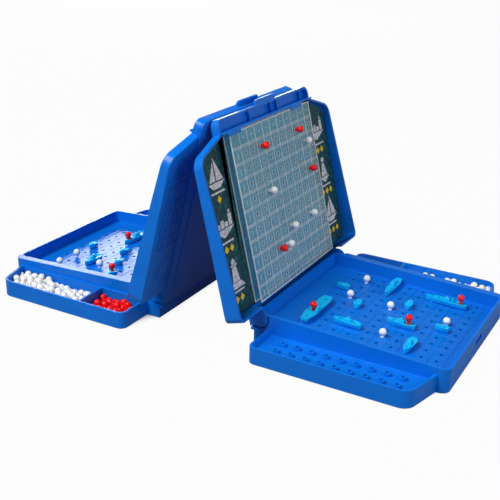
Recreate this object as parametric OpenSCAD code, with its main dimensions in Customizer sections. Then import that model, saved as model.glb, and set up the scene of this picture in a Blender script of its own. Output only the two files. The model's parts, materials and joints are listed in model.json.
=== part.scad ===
// Fleet guessing case, a set of two folding cases that stand back to back.
// Each case is a moulded base with a peg-hole board, a ship tray and a two-part peg tray,
// a hinged lid with a printed card behind a clear target panel, ships and ball-headed pegs.
// Millimetres, +Z up. Origin: on the table, midway between the two cases.
// The right-hand case opens towards +X; the left-hand case is the same case turned by 180 degrees.

/* [Board] */
// Distance between neighbouring peg holes
pitch = 14; // [12:0.5:16]
// Holes along each side of the square board
board_rows = 10; // [8:1:12]
// From the set's middle to the first row of holes
first_row_x = 87.1; // [80:0.1:95]
// Room between the hole grid's squares and the well's wall on the peg trays' side
board_edge = 1; // [0.5:0.1:3]
// Radius of a peg hole in board, ship and target panel
hole_r = 1.8; // [1.6:0.05:2.2]
// Board slope towards the player, degrees
board_tilt = 2.5; // [1.5:0.1:3.5]
// Height of the sloping board plane above the table, at the set's middle
board_z0 = 19.3; // [18:0.1:21]
// Width of the engraved square lines
line_w = 0.6; // [0.4:0.1:1]
// Depth of the engraved square lines
line_d = 0.35; // [0.2:0.05:0.6]

/* [Base] */
// Width of a case from ship tray to peg tray
case_w = 254; // [240:1:270]
// Sideways shift of a case's middle from the set's middle line
case_mid_y = 3.5; // [0:0.5:6]
// From the set's middle to the back edge of the trays
tray_back_x = 64.5; // [62:0.5:68]
// From the set's middle to the front wall
front_x = 234; // [228:1:240]
// From the set's middle to the back of the hinge block
block_back_x = 50; // [48:0.5:52]
// Width of the raised well around the board
well_w = 175; // [170:1:180]
// Thickness of outer walls
wall = 2.4; // [1.8:0.1:3]
// Thickness of floors
floor_t = 2; // [1.6:0.1:2.6]
// Height of the tray rim above the table
rim_z = 16.5; // [15:0.5:18]
// Height of the well's walls above the board
well_wall_h = 13.3; // [12.8:0.1:15]
// Width of the double wall between board and peg tray
peg_side_wall = 8; // [7.5:0.1:9]
// Ship tray floor height above the table
ship_tray_z = 10.8; // [9:0.1:12]
// Peg tray floor height above the table
peg_tray_z = 3; // [2.4:0.1:4]
// From the set's middle to the peg tray's divider
divider_x = 118; // [110:1:126]
// Radius of a ship tray boss
boss_r = 3.2; // [2.8:0.1:3.6]
// Height of a ship tray boss
boss_h = 3.2; // [2.5:0.1:4]
// Bosses along the ship tray
boss_count = 9; // [7:1:9]

/* [Hinge] */
// From the set's middle to the hinge pins
pivot_x = 55.2; // [54.5:0.1:56]
// Height of the hinge pins above the table
pivot_z = 24.1; // [23.8:0.1:25]
// Radius of the round hinge cheek
cheek_r = 8.6; // [8:0.1:9]
// Thickness of a hinge cheek
cheek_t = 2.6; // [2.2:0.1:3]
// Radius of a hinge pin
pin_r = 2.5; // [2:0.1:3]
// Radial running clearance of a hinge pin
pin_fit = 0.06; // [0.02:0.01:0.1]
// Gap between moving faces
gap = 0.35; // [0.3:0.05:0.5]
// How far the lid stands open from shut, degrees
open_angle = 107; // [105:0.5:107]
// Height of the hinge ledge above the table
ledge_z = 13.3; // [12.8:0.1:13.5]

/* [Lid] */
// From the set's middle to the lid's front wall, when shut
lid_front_x = 238.5; // [237.5:0.5:244]
// Lid depth at the set's middle, measured from the rim
lid_depth0 = 21; // [20.5:0.1:23]
// Slope of the lid's top towards the front, degrees
lid_taper = 3.3; // [3:0.1:3.6]
// Extra height of the broad middle of the lid
lid_mid_rise = 1.6; // [1:0.1:2]
// Width of the latch lip
latch_w = 38; // [30:1:44]
// How far the latch lip stands out of the lid's front
latch_out = 4.5; // [3:0.5:6]

/* [Target panel] */
// Size of a target cell
cell = 14.2; // [13.8:0.1:14.3]
// Cells along each side of the target panel
panel_cells = 11; // [9:1:11]
// How far the target panel stands off the card
panel_h = 7.4; // [6.5:0.1:7.5]
// Skin thickness of the target panel
panel_t = 1.3; // [1:0.1:1.6]
// Thickness of the printed card
card_t = 0.5; // [0.3:0.1:0.8]

/* [Pegs and ships] */
// Radius of a peg's ball head
ball_r = 3.5; // [3:0.1:3.8]
// Radius of a peg's stem
stem_r = 1.45; // [1.2:0.05:1.5]
// Height of a ball's middle above the surface that the peg stands in
ball_up = 5; // [4.6:0.1:5.5]
// Length of stem below the surface
stem_in = 4.6; // [3.5:0.1:4.8]
// Beam of a ship
hull_w = 8.4; // [7.5:0.1:9]
// Height of a hull
hull_h = 6.2; // [5.5:0.1:6.5]
// Beam of the carrier's deck
carrier_w = 12; // [10:0.5:12.5]
// Radius of a ship's pin
ship_pin_r = 1.55; // [1.3:0.05:1.6]
// Length of a ship's pin
ship_pin_l = 4.2; // [3:0.1:4.5]

/* [Hidden] */
$fn = 48;
ball_fn = 32;
cut = 1;                                   // how far cutters pass through a face
tall = 60;                                 // taller than any one case base
reach = 400;                               // longer than a case
grow = 4;                                  // arc steps per rounded corner
case_y0 = case_mid_y - case_w / 2;
case_y1 = case_mid_y + case_w / 2;
well_y0 = case_mid_y - well_w / 2;
well_y1 = case_mid_y + well_w / 2;
well_in_y0 = well_y0 + wall;
well_in_y1 = well_y1 - peg_side_wall;
back_wall_x = block_back_x + 2;            // outer face of the well's back wall
well_in_x0 = back_wall_x + wall + 0.2;
tray_turn_x = front_x - 20;                // where the tray's outer corner starts
tray_meet_x = front_x - 10;                // where the tray's slanted end meets the well
grid_y0 = well_in_y1 - board_edge - (board_rows - 0.5) * pitch;
boss_y = well_y0 - 13.5;                   // inner row of bosses
plan_r = [7, 9, 1.5, 8, 8, 1.5, 9, 7, 1.2, 2, 2, 1.2];
base_plan = [[tray_back_x, case_y0], [tray_turn_x, case_y0], [tray_meet_x, well_y0],
             [front_x, well_y0], [front_x, well_y1], [tray_meet_x, well_y1],
             [tray_turn_x, case_y1], [tray_back_x, case_y1], [tray_back_x, well_y1],
             [block_back_x, well_y1], [block_back_x, well_y0], [tray_back_x, well_y0]];
notch_r = cheek_r + 1.4;                   // room round a hinge cheek
notch_x = tray_back_x + 0.7;
hinge_wall = 5;                            // thickness of the wall that holds a pin
pin_in = 3.4;                              // how far a pin enters that wall
lip_out = 3.5;                             // the ledge's lip stands out behind the block
lip_h = 2.4;
lid_rim_z = rim_z + gap;
lid_wing_x = tray_back_x + 0.4;            // hinge side of the lid's two wings
lid_back_x = 48.2;                         // lid's back end, when shut
lid_turn_x = tray_turn_x - 2;
lid_meet_x = front_x - 8.5;
lid_over = 0.5;                            // the lid's middle is this much wider than the well
lid_plan = [[lid_wing_x, case_y0], [lid_turn_x, case_y0], [lid_meet_x, well_y0 - lid_over],
            [lid_front_x, well_y0 - lid_over], [lid_front_x, well_y1 + lid_over],
            [lid_meet_x, well_y1 + lid_over], [lid_turn_x, case_y1],
            [lid_wing_x, case_y1], [lid_wing_x, well_y1], [lid_back_x, well_y1],
            [lid_back_x, well_y0], [lid_wing_x, well_y0]];
lid_r = [6, 9, 1.5, 7, 7, 1.5, 9, 6, 1.2, 1.2, 1.2, 1.2];
lid_t = 2.2;
panel_x0 = tray_back_x + 3.2;              // panel's hinge end, when shut
panel_y1 = well_in_y1 - 1.1;
panel_size = panel_cells * cell + 0.4;
panel_y0 = panel_y1 - panel_size;
card_z0 = rim_z + lid_depth0 - lid_t - gap / 2;   // card's back plane at the set's middle
rail_x = panel_x0 + panel_size + 0.7;      // rail that holds the panel's front edge
rail_t = 1.8;
clip_l = 21;                               // length of a clip along the rail
clip_near = 6;                             // from the lid's near side to the near clip
clip_far = 18;                             // from the far clip to the panel's far edge

handle_rib_t = 1.4;
handle_rib_at = [0.32, 0.56, 0.63, 0.91];   // ribs behind the handle, as parts of its width
ridge_w = 2;
ridge_short = 50;                          // the back ridges end this far behind the front wall
ridge_end_x = front_x - ridge_short;
ridge_up = 0.8;                            // the back ridges stand this far out

// ---- plane figures -------------------------------------------------------------------

// corner i of a closed outline, counted round
function at(p, i) = p[(i + len(p)) % len(p)];
function unit(v) = v / norm(v);
function inward(a, b) = let (d = unit(b - a)) [-d[1], d[0]];

// the same outline moved inwards by e
function inset(p, e) = [for (i = [0 : len(p) - 1])
    let (n1 = inward(at(p, i - 1), p[i]), n2 = inward(p[i], at(p, i + 1)))
    p[i] + e * (n1 + n2) / (1 + n1 * n2)];

// one rounded corner: arc from the edge towards a to the edge towards c
function corner(a, b, c, r) = let (
    u = unit(a - b), v = unit(c - b), h = acos(u * v) / 2,
    m = b + unit(u + v) * r / sin(h),
    t1 = b + u * r / tan(h) - m, t2 = b + v * r / tan(h) - m,
    a1 = atan2(t1[1], t1[0]), turn = atan2(t1[0] * t2[1] - t1[1] * t2[0], t1 * t2))
    [for (k = [0 : grow]) m + r * [cos(a1 + turn * k / grow), sin(a1 + turn * k / grow)]];

function rounded(p, r) = [for (i = [0 : len(p) - 1])
    each corner(at(p, i - 1), p[i], at(p, i + 1), r[i])];

function rect(x0, y0, x1, y1) = [[x0, y0], [x1, y0], [x1, y1], [x0, y1]];

module block(x0, y0, z0, x1, y1, z1)
    translate([x0, y0, z0]) cube([x1 - x0, y1 - y0, z1 - z0]);

// everything under a plane that slopes down along +X
module under(z0, tilt)
    translate([0, 0, z0]) rotate([0, tilt, 0]) block(-10, -reach / 2, -tall * 2, reach, reach / 2, 0);

module over(z0, tilt)
    translate([0, 0, z0]) rotate([0, tilt, 0]) block(-10, -reach / 2, 0, reach, reach / 2, tall * 2);

module on_board() translate([0, 0, board_z0]) rotate([0, board_tilt, 0]) children();

module at_hole(i, j)
    on_board() translate([first_row_x + i * pitch, grid_y0 + j * pitch, 0]) children();

// lid pieces are drawn shut and swung open here
module swing_open()
    translate([pivot_x, 0, pivot_z]) rotate([0, -open_angle, 0])
        translate([-pivot_x, 0, -pivot_z]) children();

module left_side() rotate([0, 0, 180]) children();

// ---- base ----------------------------------------------------------------------------

module base_outer() {
    linear_extrude(rim_z) polygon(rounded(base_plan, plan_r));
    intersection() {
        linear_extrude(tall)
            polygon(rounded(rect(back_wall_x, well_y0, front_x, well_y1), [3, 8, 8, 3]));
        under(board_z0 + well_wall_h, board_tilt);
    }
    block(block_back_x - lip_out, well_y0, ledge_z - lip_h, block_back_x + cut, well_y1, ledge_z);
}

module ship_tray_cut() {
    translate([0, 0, ship_tray_z]) linear_extrude(tall)
        polygon(rounded([[tray_back_x + wall, case_y0 + wall],
                         [tray_turn_x - 1.2, case_y0 + wall],
                         [tray_meet_x - 3.4, well_y0],
                         [tray_back_x + wall, well_y0]], [5, 7, 1.5, 2]));
}

module peg_tray_cut() {
    y0 = well_y1 + wall;
    xf = (tray_turn_x - 1.2);
    translate([0, 0, peg_tray_z]) linear_extrude(tall)
        polygon(rounded([[divider_x + wall / 2, y0], [tray_meet_x - 4, y0],
                         [xf, case_y1 - wall], [divider_x + wall / 2, case_y1 - wall]],
                        [1.5, 2, 7, 1.5]));
    translate([0, 0, peg_tray_z]) linear_extrude(tall)
        polygon(rounded(rect(tray_back_x + wall, y0, divider_x - wall / 2, case_y1 - wall),
                        [1.5, 1.5, 1.5, 5]));
}

module well_cut() {
    intersection() {
        linear_extrude(tall)
            polygon(rounded(rect(well_in_x0, well_in_y0, front_x - wall, well_in_y1), [1.5, 5, 5, 1.5]));
        over(board_z0, board_tilt);
    }
}

module underside_cut() {
    intersection() {
        translate([0, 0, -cut]) linear_extrude(tall)
            polygon(rounded(rect(back_wall_x + wall, well_y0 + wall, front_x - wall, well_in_y1), [2, 5, 5, 2]));
        under(board_z0 - floor_t, board_tilt);
    }
    translate([0, 0, -cut]) linear_extrude(ship_tray_z - floor_t + cut)
        polygon(rounded([[tray_back_x + wall, case_y0 + wall], [tray_turn_x - 1.2, case_y0 + wall],
                         [tray_meet_x - 3.4, well_y0 - wall / 2],
                         [tray_back_x + wall, well_y0 - wall / 2]], [5, 7, 1.5, 2]));
}

// room for the lid's cheeks beside the hinge walls and for its end behind the back wall
module hinge_cut() {
    block(block_back_x - lip_out - cut, well_y0 - cut, ledge_z, back_wall_x, well_y1 + cut, tall);
    for (s = [[well_y0 - cut, well_y0 + cheek_t + gap], [well_y1 - cheek_t - gap, well_y1 + cut]]) {
        block(block_back_x - cut, s[0], pivot_z, notch_x, s[1], tall);
        block(block_back_x - cut, s[0], ledge_z, pivot_x + 1, s[1], tall);
        translate([pivot_x, s[0], pivot_z]) rotate([-90, 0, 0]) cylinder(r = notch_r, h = s[1] - s[0]);
    }
}

module pin_holes()
    for (y = [well_y0 + cheek_t + gap - cut, well_y1 - cheek_t - gap - pin_in - gap])
        translate([pivot_x, y, pivot_z]) rotate([-90, 0, 0])
            cylinder(r = pin_r + pin_fit, h = pin_in + gap + cut);

module board_lines() {
    x0 = first_row_x - pitch / 2;
    for (k = [0 : board_rows]) on_board() {
        block(x0 + k * pitch - line_w / 2, grid_y0 - pitch / 2, -line_d,
              x0 + k * pitch + line_w / 2, grid_y0 + (board_rows - 0.5) * pitch, cut);
        block(x0, grid_y0 + (k - 0.5) * pitch - line_w / 2, -line_d,
              x0 + board_rows * pitch, grid_y0 + (k - 0.5) * pitch + line_w / 2, cut);
    }
}

module tray_bosses()
    for (k = [0 : boss_count - 1], r = [0, 1])
        translate([first_row_x + k * pitch, boss_y - r * pitch, ship_tray_z - cut])
            cylinder(r = boss_r, h = boss_h + cut);

module base_shell() {
    difference() {
        union() {
            difference() {
                base_outer();
                ship_tray_cut();
                peg_tray_cut();
                well_cut();
            }
            tray_bosses();
            // thicker wall round the near pin
            block(back_wall_x, well_y0 + cheek_t + gap, ledge_z - cut,
                  notch_x + hinge_wall, well_y0 + cheek_t + gap + hinge_wall, rim_z + 10);
        }
        underside_cut();
        hinge_cut();
        pin_holes();
        board_lines();
        for (i = [0 : board_rows - 1], j = [0 : board_rows - 1])
            at_hole(i, j) translate([0, 0, -floor_t - 2]) cylinder(r = hole_r, h = floor_t + 3);
        for (k = [0 : boss_count - 1], r = [0, 1])
            translate([first_row_x + k * pitch, boss_y - r * pitch, ship_tray_z + 0.4])
                cylinder(r = hole_r, h = boss_h + cut);
        latch_slot();
    }
}

module latch_slot()
    block(front_x - 1.4, case_mid_y - 9.5, rim_z - 6, front_x + cut, case_mid_y + 9.5, rim_z - 1);

// ---- lid -----------------------------------------------------------------------------

module lid_outer() {
    intersection() {
        translate([0, 0, lid_rim_z]) linear_extrude(tall) polygon(rounded(lid_plan, lid_r));
        under(rim_z + lid_depth0, lid_taper);
    }
    intersection() {
        translate([0, 0, lid_rim_z]) linear_extrude(tall)
            polygon(rounded(rect(lid_back_x, well_y0, lid_front_x, well_y1), [1.2, 7, 7, 1.2]));
        under(rim_z + lid_depth0 + lid_mid_rise, lid_taper);
    }
}

module lid_hollow() {
    intersection() {
        union() {
            translate([0, 0, lid_rim_z - cut]) linear_extrude(tall)
                polygon(rounded(inset(lid_plan, lid_t), lid_r - [for (r = lid_r) min(r - 0.8, lid_t - 0.6)]));
            block(lid_back_x - cut, well_y0 + cheek_t, lid_rim_z - cut,
                  tray_back_x + 8, well_y1 - cheek_t, tall);
        }
        under(rim_z + lid_depth0 - lid_t, lid_taper);
    }
}

module lid_shell() {
    difference() {
        lid_outer();
        lid_hollow();
        wall_end_slots();
        block(lid_back_x - cut, well_y0 - cut, lid_rim_z - cut, lid_wing_x, well_y1 + cut, pivot_z);
    }
    hinge_cheeks();
    holding_rail();
    handle_ribs();
    latch_lip();
    back_ridges();
}

// room for the ends of the well's side walls when the lid is shut
module wall_end_slots()
    intersection() {
        for (y = [well_y0 - gap, well_y1 - cheek_t - gap])
            block(notch_x - 1, y, lid_rim_z - cut, tray_back_x + 8, y + cheek_t + 2 * gap, tall);
        under(board_z0 + well_wall_h + 2 * gap, board_tilt);
    }

// round cheeks with the pins that turn in the base
module hinge_cheeks()
    for (s = [[well_y0, 1], [well_y1, -1]]) translate([pivot_x, s[0], pivot_z]) {
        rotate([-90 * s[1], 0, 0]) cylinder(r = cheek_r, h = cheek_t);
        rotate([-90 * s[1], 0, 0]) cylinder(r = pin_r, h = cheek_t + gap + pin_in);
    }

// the rail and two clips keep the target panel's front edge
module holding_rail() {
    intersection() {
        block(rail_x, well_y0 + cut, rim_z - 3, rail_x + rail_t, well_y1 - cut, tall);
        under(rim_z + lid_depth0, lid_taper);
    }
    for (y = [well_y0 + clip_near, panel_y1 - clip_far - clip_l])
        block(rail_x - 4.5, y, rim_z - 4.4, rail_x + rail_t, y + clip_l, rim_z - 3);
}

module handle_ribs()
    for (f = handle_rib_at) intersection() {
        block(rail_x + rail_t - cut, well_y0 + f * well_w, rim_z + 2,
              lid_front_x - cut, well_y0 + f * well_w + handle_rib_t, tall);
        under(rim_z + lid_depth0, lid_taper);
    }

module latch_lip() {
    block(lid_front_x - lid_t, case_mid_y + 2.5 - latch_w / 2, rim_z + 1.4,
          lid_front_x + latch_out, case_mid_y + 2.5 + latch_w / 2, rim_z + 3.6);
}

// two long ridges down the lid's back
module back_ridges()
    for (y = [well_y0 + 11, well_y1 - 13]) intersection() {
        block(tray_back_x + 4, y, rim_z, ridge_end_x, y + ridge_w, tall);
        under(rim_z + lid_depth0 + lid_mid_rise + ridge_up, lid_taper);
        over(rim_z + lid_depth0, lid_taper);
    }

module card_plane() translate([0, 0, card_z0]) rotate([0, lid_taper, 0]) children();

card_plan = [[tray_back_x + 3.2, case_y0 + 3], [lid_turn_x - 2, case_y0 + 3],
             [rail_x - 0.5, panel_y0 - 4], [rail_x - 0.5, panel_y1 + 4],
             [lid_turn_x - 2, case_y1 - 3], [tray_back_x + 3.2, case_y1 - 3]];

module card_sheet()
    card_plane() translate([0, 0, -card_t]) linear_extrude(card_t)
        polygon(rounded(card_plan, [4, 8, 3, 3, 8, 4]));

// a shallow clear box, open at the back, with a hole in every cell that is no label cell
module panel_box() {
    card_plane() translate([panel_x0, panel_y0, -card_t - gap / 2 - panel_h]) difference() {
        union() {
            difference() {
                cube([panel_size, panel_size, panel_h]);
                translate([panel_t, panel_t, panel_t])
                    cube([panel_size - 2 * panel_t, panel_size - 2 * panel_t, panel_h]);
            }
            for (k = [0 : panel_cells]) {
                translate([0.2 + k * cell - rib_w(k) / 2, 0, -rib_up])
                    cube([rib_w(k), panel_size, rib_up + 0.1]);
                translate([0, 0.2 + k * cell - rib_w(k) / 2, -rib_up])
                    cube([panel_size, rib_w(k), rib_up + 0.1]);
            }
        }
        for (i = [0 : panel_cells - 2], j = [1 : panel_cells - 1])
            translate([cell_mid(i), cell_mid(j), -cut]) cylinder(r = hole_r, h = panel_t + 2 * cut);
    }
}
rib_up = 0.35;
function rib_w(k) = (k == 0 || k == panel_cells) ? 0.4 : 0.8;
function cell_mid(i) = 0.2 + (i + 0.5) * cell;

// ---- pegs and ships --------------------------------------------------------------------

module peg() {
    translate([0, 0, ball_up]) sphere(r = ball_r, $fn = ball_fn);
    translate([0, 0, -stem_in]) cylinder(r = stem_r, h = stem_in + ball_up);
}

module board_pegs(holes) for (h = holes) at_hole(h[0], h[1]) peg();

module target_pegs(cells)
    for (c = cells) card_plane()
        translate([panel_x0 + cell_mid(c[0]), panel_y0 + cell_mid(c[1]), -card_t - gap / 2 - panel_h])
            mirror([0, 0, 1]) peg();

module hit_peg(i, j) at_hole(i, j) translate([0, 0, hull_h + gap]) peg();

// half-beam of a hull at a station from stern (0) to bow (1)
function beam(s, w) = w / 2 * (s < 0.3 ? 0.72 + 0.28 * sin(s / 0.3 * 90)
                               : pow(cos((s - 0.3) / 0.7 * 90), 0.6));
function hull_plan(l, w) = let (n = 12) concat(
    [for (k = [0 : n]) [l * (k / n - 0.5), -max(0.25, beam(k / n, w))]],
    [for (k = [n : -1 : 0]) [l * (k / n - 0.5), max(0.25, beam(k / n, w))]]);

// hull along +X with a hole in each cell; one cell long for a patrol boat, two for a
// destroyer, three for a cruiser
module ship(cells) {
    l = cells * pitch - 1.2;
    first = -(cells - 1) * pitch / 2;
    difference() {
        union() {
            translate([0, 0, gap]) linear_extrude(hull_h - 1.2) polygon(hull_plan(l - 1.5, hull_w - 1.2));
            translate([0, 0, hull_h - 1.2]) linear_extrude(1.2) polygon(hull_plan(l, hull_w));
            if (cells > 1) {
                block(-4, -2.2, hull_h - 0.5, 3, 2.2, hull_h + 1.8);
                block(-2.6, -1.5, hull_h + 1.7, 1.4, 1.5, hull_h + 3.2);
            }
            if (cells > 2) translate([0, 0, hull_h - 0.5]) {
                translate([-6.6, 0, 0]) cylinder(r = 1.3, h = 3.4);
                translate([pitch - 4.5, 0, 0]) cylinder(r = 1.5, h = 1.7);
            }
            ship_pins(cells);
        }
        for (k = [0 : cells - 1]) translate([first + k * pitch, 0, 1.6])
            cylinder(r = hole_r, h = tall);
    }
}

module ship_pins(cells)
    for (k = [0, cells - 1]) translate([(k - (cells - 1) / 2) * pitch, 0, -ship_pin_l])
        cylinder(r = ship_pin_r, h = ship_pin_l + 2);

module carrier_ship() {
    l = 4 * pitch + 1;
    deck = [[-l / 2, -3.4], [-l / 2 + 6, -carrier_w / 2], [l / 2 - 14, -carrier_w / 2], [l / 2, -3],
            [l / 2, 3], [l / 2 - 14, carrier_w / 2], [-l / 2 + 6, carrier_w / 2], [-l / 2, 3.4]];
    difference() {
        union() {
            translate([0, 0, gap]) linear_extrude(hull_h - 2) polygon(hull_plan(l - 6, hull_w - 2));
            translate([0, 0, hull_h - 2]) linear_extrude(2) polygon(deck);
            block(3, 3.2, hull_h - 0.5, 11, 5.8, hull_h + 3.4);
            block(5, 3.6, hull_h + 3.3, 8, 5.4, hull_h + 5.4);
            ship_pins(4);
        }
        for (k = [0 : 3]) translate([(k - 1.5) * pitch, 0, 1.6]) cylinder(r = hole_r, h = tall);
    }
}

// a ship whose middle is over board position i, j; heading in degrees
module moored(i, j, heading) at_hole(i, j) rotate([0, 0, heading]) children();

// loose pegs filling a compartment: rows of balls, stems down
module heap(x0, y0, x1, y1, nx, ny) {
    sx = (x1 - x0) / nx;
    sy = (y1 - y0) / ny;
    for (i = [0 : nx - 1], j = [0 : ny - 1]) {
        lift = 0.8 + 0.8 * sin(i * 137 + j * 71);
        translate([x0 + (i + 0.5) * sx, y0 + (j + 0.5) * sy, peg_tray_z + 0.2 + stem_in + lift]) peg();
    }
}
tray_in_y0 = well_y1 + wall + 1;
tray_in_y1 = case_y1 - wall - 1;
module white_heap() heap(divider_x + 4, tray_in_y0, tray_turn_x - 6, tray_in_y1, 11, 4);
module red_heap() heap(tray_back_x + wall + 2, tray_in_y0, divider_x - 3, tray_in_y1, 6, 4);

// ---- nodes, right-hand case --------------------------------------------------------------

case_blue = [0.05, 0.32, 0.80];
ship_blue = [0.10, 0.62, 0.90];
peg_white = [0.93, 0.92, 0.90];
peg_red = [0.85, 0.05, 0.04];
clear_blue = [0.55, 0.75, 0.90, 0.35];
card_teal = [0.05, 0.28, 0.30];

module right_base() color(case_blue) base_shell();
module right_lid() color(case_blue) swing_open() lid_shell();
module right_card() color(card_teal) swing_open() card_sheet();
module right_target_panel() color(clear_blue) swing_open() panel_box();
module right_carrier() color(ship_blue) moored(0, 1.5, -90) carrier_ship();
module right_cruiser_front() color(ship_blue) moored(7, 8, 180) ship(3);
module right_cruiser_far() color(ship_blue) moored(3, 8, -90) ship(3);
module right_destroyer_back() color(ship_blue) moored(2.5, 1, 180) ship(2);
module right_destroyer_mid() color(ship_blue) moored(5.5, 3, 180) ship(2);
module right_destroyer_front() color(ship_blue) moored(7, 0.5, -90) ship(2);
module right_patrol_boat_back() color(ship_blue) moored(0, 6, 180) ship(1);
module right_patrol_boat_near() color(ship_blue) moored(2, 4, 90) ship(1);
module right_patrol_boat_mid() color(ship_blue) moored(5, 6, 90) ship(1);
module right_patrol_boat_front() color(ship_blue) moored(8, 4, 180) ship(1);
module right_carrier_hit_peg() color(peg_red) hit_peg(0, 1);
module right_cruiser_hit_peg() color(peg_red) hit_peg(8, 8);
module right_destroyer_hit_peg() color(peg_red) hit_peg(6, 3);
module right_board_white_pegs()
    color(peg_white) board_pegs([[1, 8], [1, 5], [4, 5], [5, 1], [8, 5]]);
module right_target_red_pegs()
    color(peg_red) swing_open() target_pegs([[9, 3], [9, 8], [6, 9], [2, 3]]);
module right_target_white_pegs()
    color(peg_white) swing_open() target_pegs([[8, 9], [6, 3], [3, 8], [3, 5], [2, 4]]);
module right_tray_white_pegs() color(peg_white) white_heap();
module right_tray_red_pegs() color(peg_red) red_heap();

// ---- nodes, left-hand case ---------------------------------------------------------------

module left_base() color(case_blue) left_side() base_shell();
module left_lid() color(case_blue) left_side() swing_open() lid_shell();
module left_card() color(card_teal) left_side() swing_open() card_sheet();
module left_target_panel() color(clear_blue) left_side() swing_open() panel_box();
module left_cruiser() color(ship_blue) left_side() moored(6, 1, 90) ship(3);
module left_destroyer() color(ship_blue) left_side() moored(6, 6.5, 90) ship(2);
module left_patrol_boat_front() color(ship_blue) left_side() moored(8, 4, 90) ship(1);
module left_patrol_boat_mid() color(ship_blue) left_side() moored(5, 4, 90) ship(1);
module left_patrol_boat_near() color(ship_blue) left_side() moored(4, 6, 90) ship(1);
module left_patrol_boat_corner() color(ship_blue) left_side() moored(3, 8, 90) ship(1);
module left_cruiser_hit_peg() color(peg_red) left_side() hit_peg(6, 2);
module left_patrol_boat_hit_peg() color(peg_red) left_side() hit_peg(3, 8);
module left_board_white_pegs()
    color(peg_white) left_side() board_pegs([[8, 6], [8, 8], [5, 7]]);
module left_tray_white_pegs() color(peg_white) left_side() white_heap();
module left_tray_red_pegs() color(peg_red) left_side() red_heap();

right_base();
right_lid();
right_card();
right_target_panel();
right_carrier();
right_cruiser_front();
right_cruiser_far();
right_destroyer_back();
right_destroyer_mid();
right_destroyer_front();
right_patrol_boat_back();
right_patrol_boat_near();
right_patrol_boat_mid();
right_patrol_boat_front();
right_carrier_hit_peg();
right_cruiser_hit_peg();
right_destroyer_hit_peg();
right_board_white_pegs();
right_target_red_pegs();
right_target_white_pegs();
right_tray_white_pegs();
right_tray_red_pegs();
left_base();
left_lid();
left_card();
left_target_panel();
left_cruiser();
left_destroyer();
left_patrol_boat_front();
left_patrol_boat_mid();
left_patrol_boat_near();
left_patrol_boat_corner();
left_cruiser_hit_peg();
left_patrol_boat_hit_peg();
left_board_white_pegs();
left_tray_white_pegs();
left_tray_red_pegs();
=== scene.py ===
import json
import logging
import math
from collections.abc import Callable, Iterable, Iterator
from contextlib import contextmanager
from dataclasses import dataclass
from enum import Enum

import bmesh
import bpy
import numpy as np
from mathutils import Matrix, Vector

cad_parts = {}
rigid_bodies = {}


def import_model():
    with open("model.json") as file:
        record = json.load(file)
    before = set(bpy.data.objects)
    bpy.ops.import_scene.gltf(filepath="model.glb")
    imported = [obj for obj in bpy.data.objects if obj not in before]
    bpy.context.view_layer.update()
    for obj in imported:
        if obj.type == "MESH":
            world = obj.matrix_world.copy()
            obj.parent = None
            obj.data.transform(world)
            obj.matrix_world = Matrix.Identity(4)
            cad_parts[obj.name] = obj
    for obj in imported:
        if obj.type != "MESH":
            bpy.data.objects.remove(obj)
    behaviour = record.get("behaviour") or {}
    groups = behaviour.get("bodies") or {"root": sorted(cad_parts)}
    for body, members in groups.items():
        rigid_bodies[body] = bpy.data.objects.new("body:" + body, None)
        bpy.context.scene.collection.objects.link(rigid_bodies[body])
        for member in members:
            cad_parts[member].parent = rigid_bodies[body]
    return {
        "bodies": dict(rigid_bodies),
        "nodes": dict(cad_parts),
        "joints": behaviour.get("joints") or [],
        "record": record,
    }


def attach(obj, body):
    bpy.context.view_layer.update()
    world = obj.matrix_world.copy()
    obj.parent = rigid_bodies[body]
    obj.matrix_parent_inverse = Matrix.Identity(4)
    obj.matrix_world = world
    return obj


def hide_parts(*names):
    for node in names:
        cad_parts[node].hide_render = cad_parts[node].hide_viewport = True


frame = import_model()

# Two folding peg-board cases that stand back to back. The classes below hold millimetres in a
# case's own frame: hinge at low X, ship tray at low Y, table at Z = 0, lid shut. A finished
# piece is scaled to metres, swung open with its lid, and turned round for the left-hand case.

log = logging.getLogger("fleet_case")
Point = tuple[float, float, float]
Spot = tuple[float, float]


class Side(Enum):
    """Which of the two cases a piece belongs to."""

    RIGHT = "right"
    LEFT = "left"

    @property
    def half_turn(self) -> Matrix:
        """Turn that takes a case's own frame to its place in the set."""
        return Matrix.Rotation(math.pi if self is Side.LEFT else 0.0, 4, "Z")


class Part(Enum):
    """Mesh parts that can be picked in edit mode."""

    VERT = "verts"
    EDGE = "edges"
    FACE = "faces"


class Hull(Enum):
    """Kinds of ship, by the number of board holes that they cover."""

    PATROL_BOAT = 1
    DESTROYER = 2
    CRUISER = 3
    CARRIER = 4


# ---- tools -----------------------------------------------------------------------------


def deselect_all() -> None:
    """Leave nothing selected."""
    for item in list(bpy.context.selected_objects):
        item.select_set(False)


@contextmanager
def editing(obj: bpy.types.Object) -> Iterator[None]:
    """Open one object in edit mode, and close it again.

    Args:
        obj: The mesh object to edit.
    """
    deselect_all()
    obj.select_set(True)
    bpy.context.view_layer.objects.active = obj
    bpy.ops.object.mode_set(mode="EDIT")
    try:
        yield
    finally:
        bpy.ops.object.mode_set(mode="OBJECT")


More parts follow.
